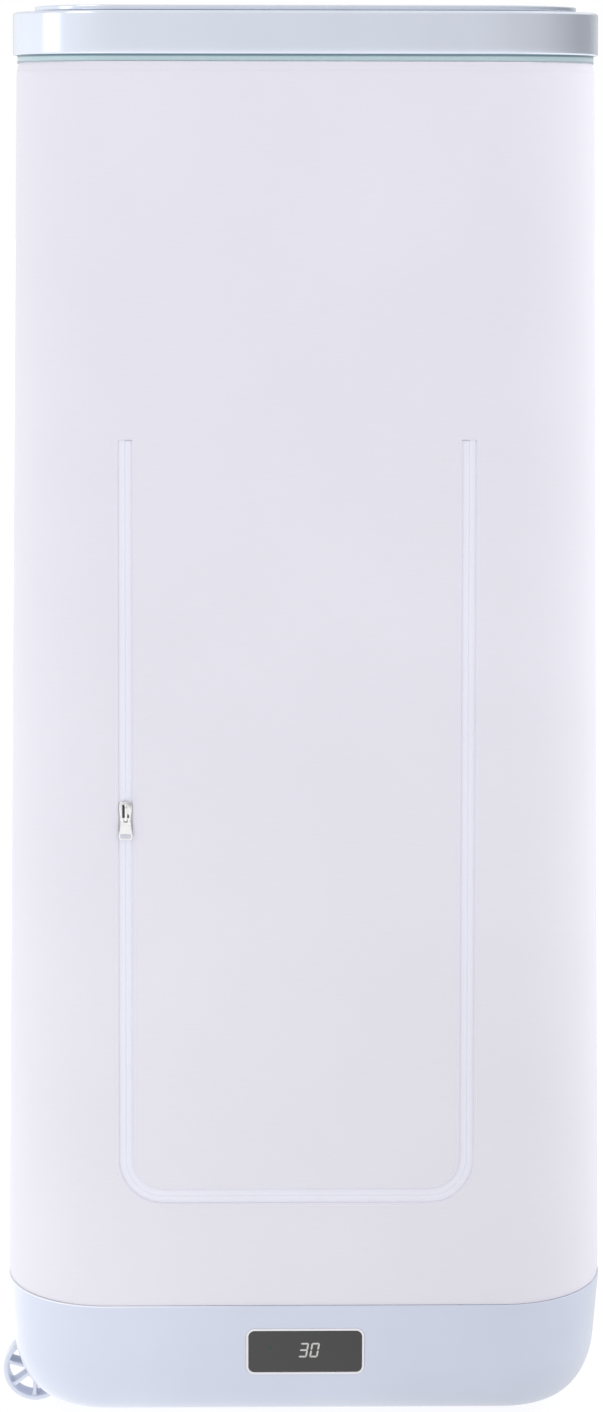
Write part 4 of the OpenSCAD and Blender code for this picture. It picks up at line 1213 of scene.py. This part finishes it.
def ring_sheet(name, node, slot, bow, thick, steps=8):
    """A band of cloth round the cabinet in the place of a CAD ring, bowed out between its edges."""
    low, high = span(node, 2)
    w, d, r = ring_size(node)
    edge_t, edge_h = 0.5 * MM, 0.2 * MM
    tall = high - low
    shares = [i / steps for i in range(steps + 1)]
    outer = [(edge_t * (1 - math.sin(math.pi * k)) * bow, low + edge_h + (tall - 2 * edge_h) * k)
             for k in shares]
    inner = [(thick - 0.1 * MM, z) for _, z in outer[::-1]]
    ring = ring_shell(name, [(thick / 2, low), *outer, (thick / 2, high), *inner], w, d, r, closed=True)
    uv_round(ring)
    settle(ring, slot, node)
    return ring, (tall, 2 * (w + d) - 8 * r + 2 * math.pi * r)


def uv_round(obj, radius=0.3):
    """UVs in metres: the way round the cabinet, and height."""
    uv = obj.data.uv_layers.new(name="cloth")
    for poly in obj.data.polygons:
        base = math.atan2(poly.center.y, poly.center.x)
        for li in poly.loop_indices:
            co = obj.data.vertices[obj.data.loops[li].vertex_index].co
            a = math.atan2(co.y, co.x)
            a += 2 * math.pi if base - a > math.pi else -2 * math.pi if a - base > math.pi else 0
            uv.data[li].uv = (a * radius, co.z)


def fibres(name, count, seed=7):
    """Loose loop fibres along the neck band's lower edge."""
    rng = random.Random(seed)
    low = span("neck_band", 2)[0]
    line = [Vector((*p, low)) for p in outline(*ring_size("neck_band"), 12 * MM)]
    line.append(line[0])
    run = [0.0]
    for a, b in zip(line, line[1:]):
        run.append(run[-1] + (b - a).length)
    many = []
    j = 0
    for k in range(count):
        at = run[-1] * (k + rng.random()) / count
        while run[j + 1] < at:
            j += 1
        t = (line[j + 1] - line[j]).normalized()
        n = Vector((t.y, -t.x, 0))
        start = line[j].lerp(line[j + 1], (at - run[j]) / (run[j + 1] - run[j])) - 0.5 * MM * n
        start.z += rng.uniform(0.0, 1.5) * MM
        lean = rng.uniform(-1.4, 1.4) * MM
        drop = Vector((0, 0, rng.uniform(0.5, 2.2) * MM))
        proud = rng.uniform(0.2, 0.6) * MM
        mid = start + proud * n - 0.35 * drop + 0.4 * lean * t
        end = start + proud * n - drop + lean * t
        around = circle_points(0, 0, rng.uniform(0.10, 0.2) * MM, 3)
        many.append([[c + share * (u * t + v * n) for u, v in around]
                     for c, share in ((start, 1.0), (mid, 0.9), (end, 0.35))])
    return new_object(name, tubes(name, many))


def make_bands():
    band, size = ring_sheet("neck_band_loop", "neck_band", "neck_strip", 0.8, 2.5 * MM)
    fuzz = fibres("neck_band_fibres", 5200)
    settle(fuzz, "neck_strip", look="band_fibre")
    for node in HEMS:
        hem, size = ring_sheet(node + "_tape", node, "cover_fabric", 1.0, 2.0 * MM)


def make_filter():
    """Open foam on the intake grille, with a soft rounded rim."""
    low, high = span("intake_filter", 2)
    r = half_span("intake_filter", 0)
    section = [(6, high), (1.2, high - 0.1 * MM), (0.3, high - 0.5 * MM), (0, (low + high) / 2),
               (0.3, low + 0.3 * MM), (1.2, low), (6, low)]
    rings = [[(x, y, z) for x, y in circle_points(0, 0, r - inset * MM, 96)] for inset, z in section]
    foam = skin("intake_filter_foam", rings)
    settle(foam, "filter_foam", "intake_filter")


# ------------------------------------------------------------------ wheels


def make_wheel(node):
    """A rim, a hub and spokes that swell into the rim, with all edges rounded."""
    half, inner, edge = WHEEL_RIM_W / 2, WHEEL_R - WHEEL_RIM_T, WHEEL_EDGE_R
    section = [(inner, 0.6 * MM - half), (inner + 0.6 * MM, -half)]
    section += arc_points(WHEEL_R - edge, edge - half, edge, -90, 0, 4)
    turns = [(math.cos(a), math.sin(a)) for a in (2 * math.pi * q / 128 for q in range(128))]
    rings = [[(r * c, y, r * s) for r, y in mirrored(section, (1, -1))] for c, s in turns]
    wheel = skin(node + "_tyre", rings, closed=True)
    adds = [prism("hub", circle_points(0, 0, HUB_R, 64), -HUB_W / 2, HUB_W / 2, "y")]
    t = SPOKE_T / 2
    spoke = mirrored([(5 * MM, -1.15 * t), (11 * MM, -0.95 * t), (inner - 4 * MM, -t),
                      (inner - 1.2 * MM, -1.3 * t), (inner + 1.5 * MM, -2.1 * t)], (1, -1))
    for a in (math.radians(FIRST_SPOKE) + 2 * math.pi * k / SPOKES for k in range(SPOKES)):
        c, s = math.cos(a), math.sin(a)
        shape = [(u * c - v * s, u * s + v * c) for u, v in spoke]
        adds.append(prism("spoke", shape, 1.2 * MM - half, half - 1.2 * MM, "y"))
    reach = HUB_W / 2 + 1 * MM
    combine(wheel, adds, [prism("bore", circle_points(0, 0, AXLE_R + AXLE_GAP), -reach, reach, "y")])
    bevel(wheel, 0.5 * MM, 2, 38.0)
    edit(wheel.data, 40.0)
    low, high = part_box(node)
    wheel.data.transform(Matrix.Translation((low + high) / 2))
    settle(wheel, "wheel_plastic", node, body=node + "_body")


# ------------------------------------------------------------------ stage, light and camera

IMAGE_W, IMAGE_H = 603, 1412
HORIZON_PX, AXIS_PX = 118.0, 303.9
FOCAL_PX = 3056.0
SENSOR_W = 36.0
SHIFT_Y = -0.29
CAMERA_BACK, CAMERA_HIGH = 2.95, 1.3104
CAMERA_TURN = math.radians(-0.8)
CAMERA_ROLL = math.radians(-0.083)

# The surroundings' light by how far back, and its strength by how far to the right, from -1 to 1 as 0 to 1
WORLD_BACK = [(0.0, 0.66), (0.35, 0.84), (0.52, 1.0), (1.0, 1.0)]
WORLD_SIDE = [(0.0, 0.6), (0.25, 0.5), (0.5, 0.48), (0.7, 0.5), (0.82, 0.97), (0.9, 1.05), (1.0, 0.7)]
# What the glossy parts mirror, by the angle round from the front: negative to the left, positive to the right
TENT = [(-180, 0.5), (-150, 1.0), (-113, 1.15), (-84, 1.1), (-81.5, 1.9), (-68, 1.9), (-60, 1.0),
        (-36, 0.92), (-5, 0.79), (0, 0.76), (3, 0.69), (7, 0.565), (30, 0.505), (51, 0.44), (76, 0.26),
        (102, 0.11), (124, 0.16), (146, 0.5), (180, 0.7)]
TENT_R, TENT_LOW, TENT_HIGH = 9.0, -0.5, 14.0
# Between these heights the screen turns plain white
TENT_PLAIN = (3.2, 5.0)
# What the base gets from the floor, by x in metres
REFLECTOR = [(-1.5, 1.5), (-0.45, 1.45), (-0.15, 1.08), (0.05, 0.98), (0.25, 0.82), (0.5, 0.74), (0.9, 1.1),
             (1.5, 1.6)]
REFLECTOR_SIZE, FLOOR_SIZE = 1.5, 30.0
KEY_PLACE, KEY_AIM, KEY_SIZE, KEY_POWER = Vector((-2.4, -2.6, 3.4)), Vector((0, 0, 0.8)), 1.8, 20.0


def make_camera():
    """The photograph's view: eye level near the lid, with the frame shifted down to the floor."""
    data = bpy.data.cameras.new("camera")
    data.sensor_width = SENSOR_W
    data.lens = FOCAL_PX / IMAGE_H * SENSOR_W
    data.shift_y = SHIFT_Y
    data.shift_x = -(AXIS_PX - IMAGE_W / 2) / IMAGE_H
    data.clip_start, data.clip_end = 0.05, 60.0
    cam = new_object("camera", data)
    away = BASE_D / 2 + CAMERA_BACK
    pitch = math.atan((IMAGE_H / 2 + SHIFT_Y * IMAGE_H - HORIZON_PX) / FOCAL_PX)
    cam.location = (away * math.sin(CAMERA_TURN), -away * math.cos(CAMERA_TURN), CAMERA_HIGH)
    cam.rotation_euler = (math.pi / 2 - pitch, CAMERA_ROLL, CAMERA_TURN)
    bpy.context.scene.camera = cam


def make_key_light():
    data = bpy.data.lights.new("key", "AREA")
    data.shape, data.size, data.size_y = "RECTANGLE", KEY_SIZE, KEY_SIZE
    data.energy = KEY_POWER
    light = new_object("key", data)
    light.location = KEY_PLACE
    light.rotation_euler = (KEY_AIM - KEY_PLACE).to_track_quat("-Z", "Y").to_euler()
    light.visible_camera = False


def make_world():
    """White surroundings that the camera sees plain. Their light is dimmer behind the camera."""
    world = bpy.data.worlds.new("studio")
    bpy.context.scene.world = world
    world.use_nodes = True
    nodes = Nodes(world.node_tree)
    way = nodes.axes("Generated")
    back = nodes.ramp(nodes.range(way["Y"], over=(-1.0, 1.0)), WORLD_BACK)
    side = nodes.ramp(nodes.range(way["X"], over=(-1.0, 1.0)), WORLD_SIDE)
    sky = nodes.tree.nodes["Background"]
    nodes.feed(sky.inputs["Color"], back)
    nodes.feed(sky.inputs["Strength"], nodes.math("MULTIPLY", side, 2.0))
    plain = nodes.node("Background", Color=WHITE)
    seen = nodes.node("LightPath").outputs["Is Camera Ray"]
    mixed = nodes.node("MixShader", seen, sky.outputs["Background"], plain.outputs["Background"])
    nodes.surface(mixed.outputs["Shader"])


def make_tent():
    """A tall round screen far outside the cabinet, seen by mirroring surfaces only."""
    rings = [[(x, y, z) for x, y in circle_points(0, 0, TENT_R, 96)] for z in (TENT_LOW, TENT_HIGH)]
    tent = skin("light_tent", rings, caps=False)
    look = Look("light_tent")
    look.tree.nodes.remove(look.shader)
    x, y = (look.axes()[axis] for axis in "XY")
    angle = look.math("ARCTAN2", x, look.math("MULTIPLY", y, -1.0))
    stops = [((at + 180) / 360, value) for at, value in TENT]
    round_it = look.ramp(look.range(angle, over=(-math.pi, math.pi)), stops)
    glow = look.node("Emission", Color=look.by_height(TENT_PLAIN, round_it, (0.9, 0.9, 0.9, 1.0)))
    look.surface(glow.outputs["Emission"])
    paint(tent, "light_tent")
    tent.visible_camera = tent.visible_diffuse = tent.visible_shadow = tent.visible_transmission = False


def flat_square(name, size, z):
    bm = bmesh.new()
    bm.faces.new([bm.verts.new((x, y, z)) for x, y in box_points(-size, size, -size, size)])
    return paint(from_bmesh(name, bm), name)


def make_reflector():
    """A sheet of light on the floor round the cabinet, brighter to the left, that the camera doesn't see."""
    size, peak = REFLECTOR_SIZE, max(value for _, value in REFLECTOR)
    look = Look("floor_reflector", Roughness=1.0, Base_Color=BLACK, Emission_Strength=peak)
    stops = [((x + size) / (2 * size), value / peak) for x, value in REFLECTOR]
    look.set(Emission_Color=look.ramp(look.range(look.axes()["X"], over=(-size, size)), stops))
    behind = look.node("NewGeometry").outputs["Backfacing"]
    clear = look.node("BsdfTransparent").outputs["BSDF"]
    look.surface(look.node("MixShader", behind, look.shader.outputs["BSDF"], clear).outputs["Shader"])
    sheet = flat_square("floor_reflector", size, 0.3 * MM)
    sheet.visible_camera = sheet.visible_shadow = sheet.visible_transmission = False


def make_stage():
    look = Look("floor", Roughness=0.8, Emission_Color=linear(252, 252, 255), Emission_Strength=0.84)
    greys = [(0.3, linear(122, 122, 125)), (0.7, linear(128, 128, 131))]
    look.set(Base_Color=look.ramp(look.noise(3.0), greys))
    flat_square("floor", FLOOR_SIZE, 0)
    make_world()
    make_tent()
    make_reflector()
    make_key_light()
    view = bpy.context.scene.view_settings
    view.view_transform, view.look, view.exposure = "Standard", "None", 0.0


# ------------------------------------------------------------------ build

make_camera()
make_stage()
make_base()
make_display()
make_lid()
make_top_panel()
make_cover()
make_zip()
make_slider()
make_bands()
make_filter()
for wheel_node in ("wheel_front", "wheel_rear"):
    make_wheel(wheel_node)

for cad_node, cad_obj in frame["nodes"].items():
    if not cad_obj.hide_render:
        dress(cad_obj, SLOT_OF[cad_node])
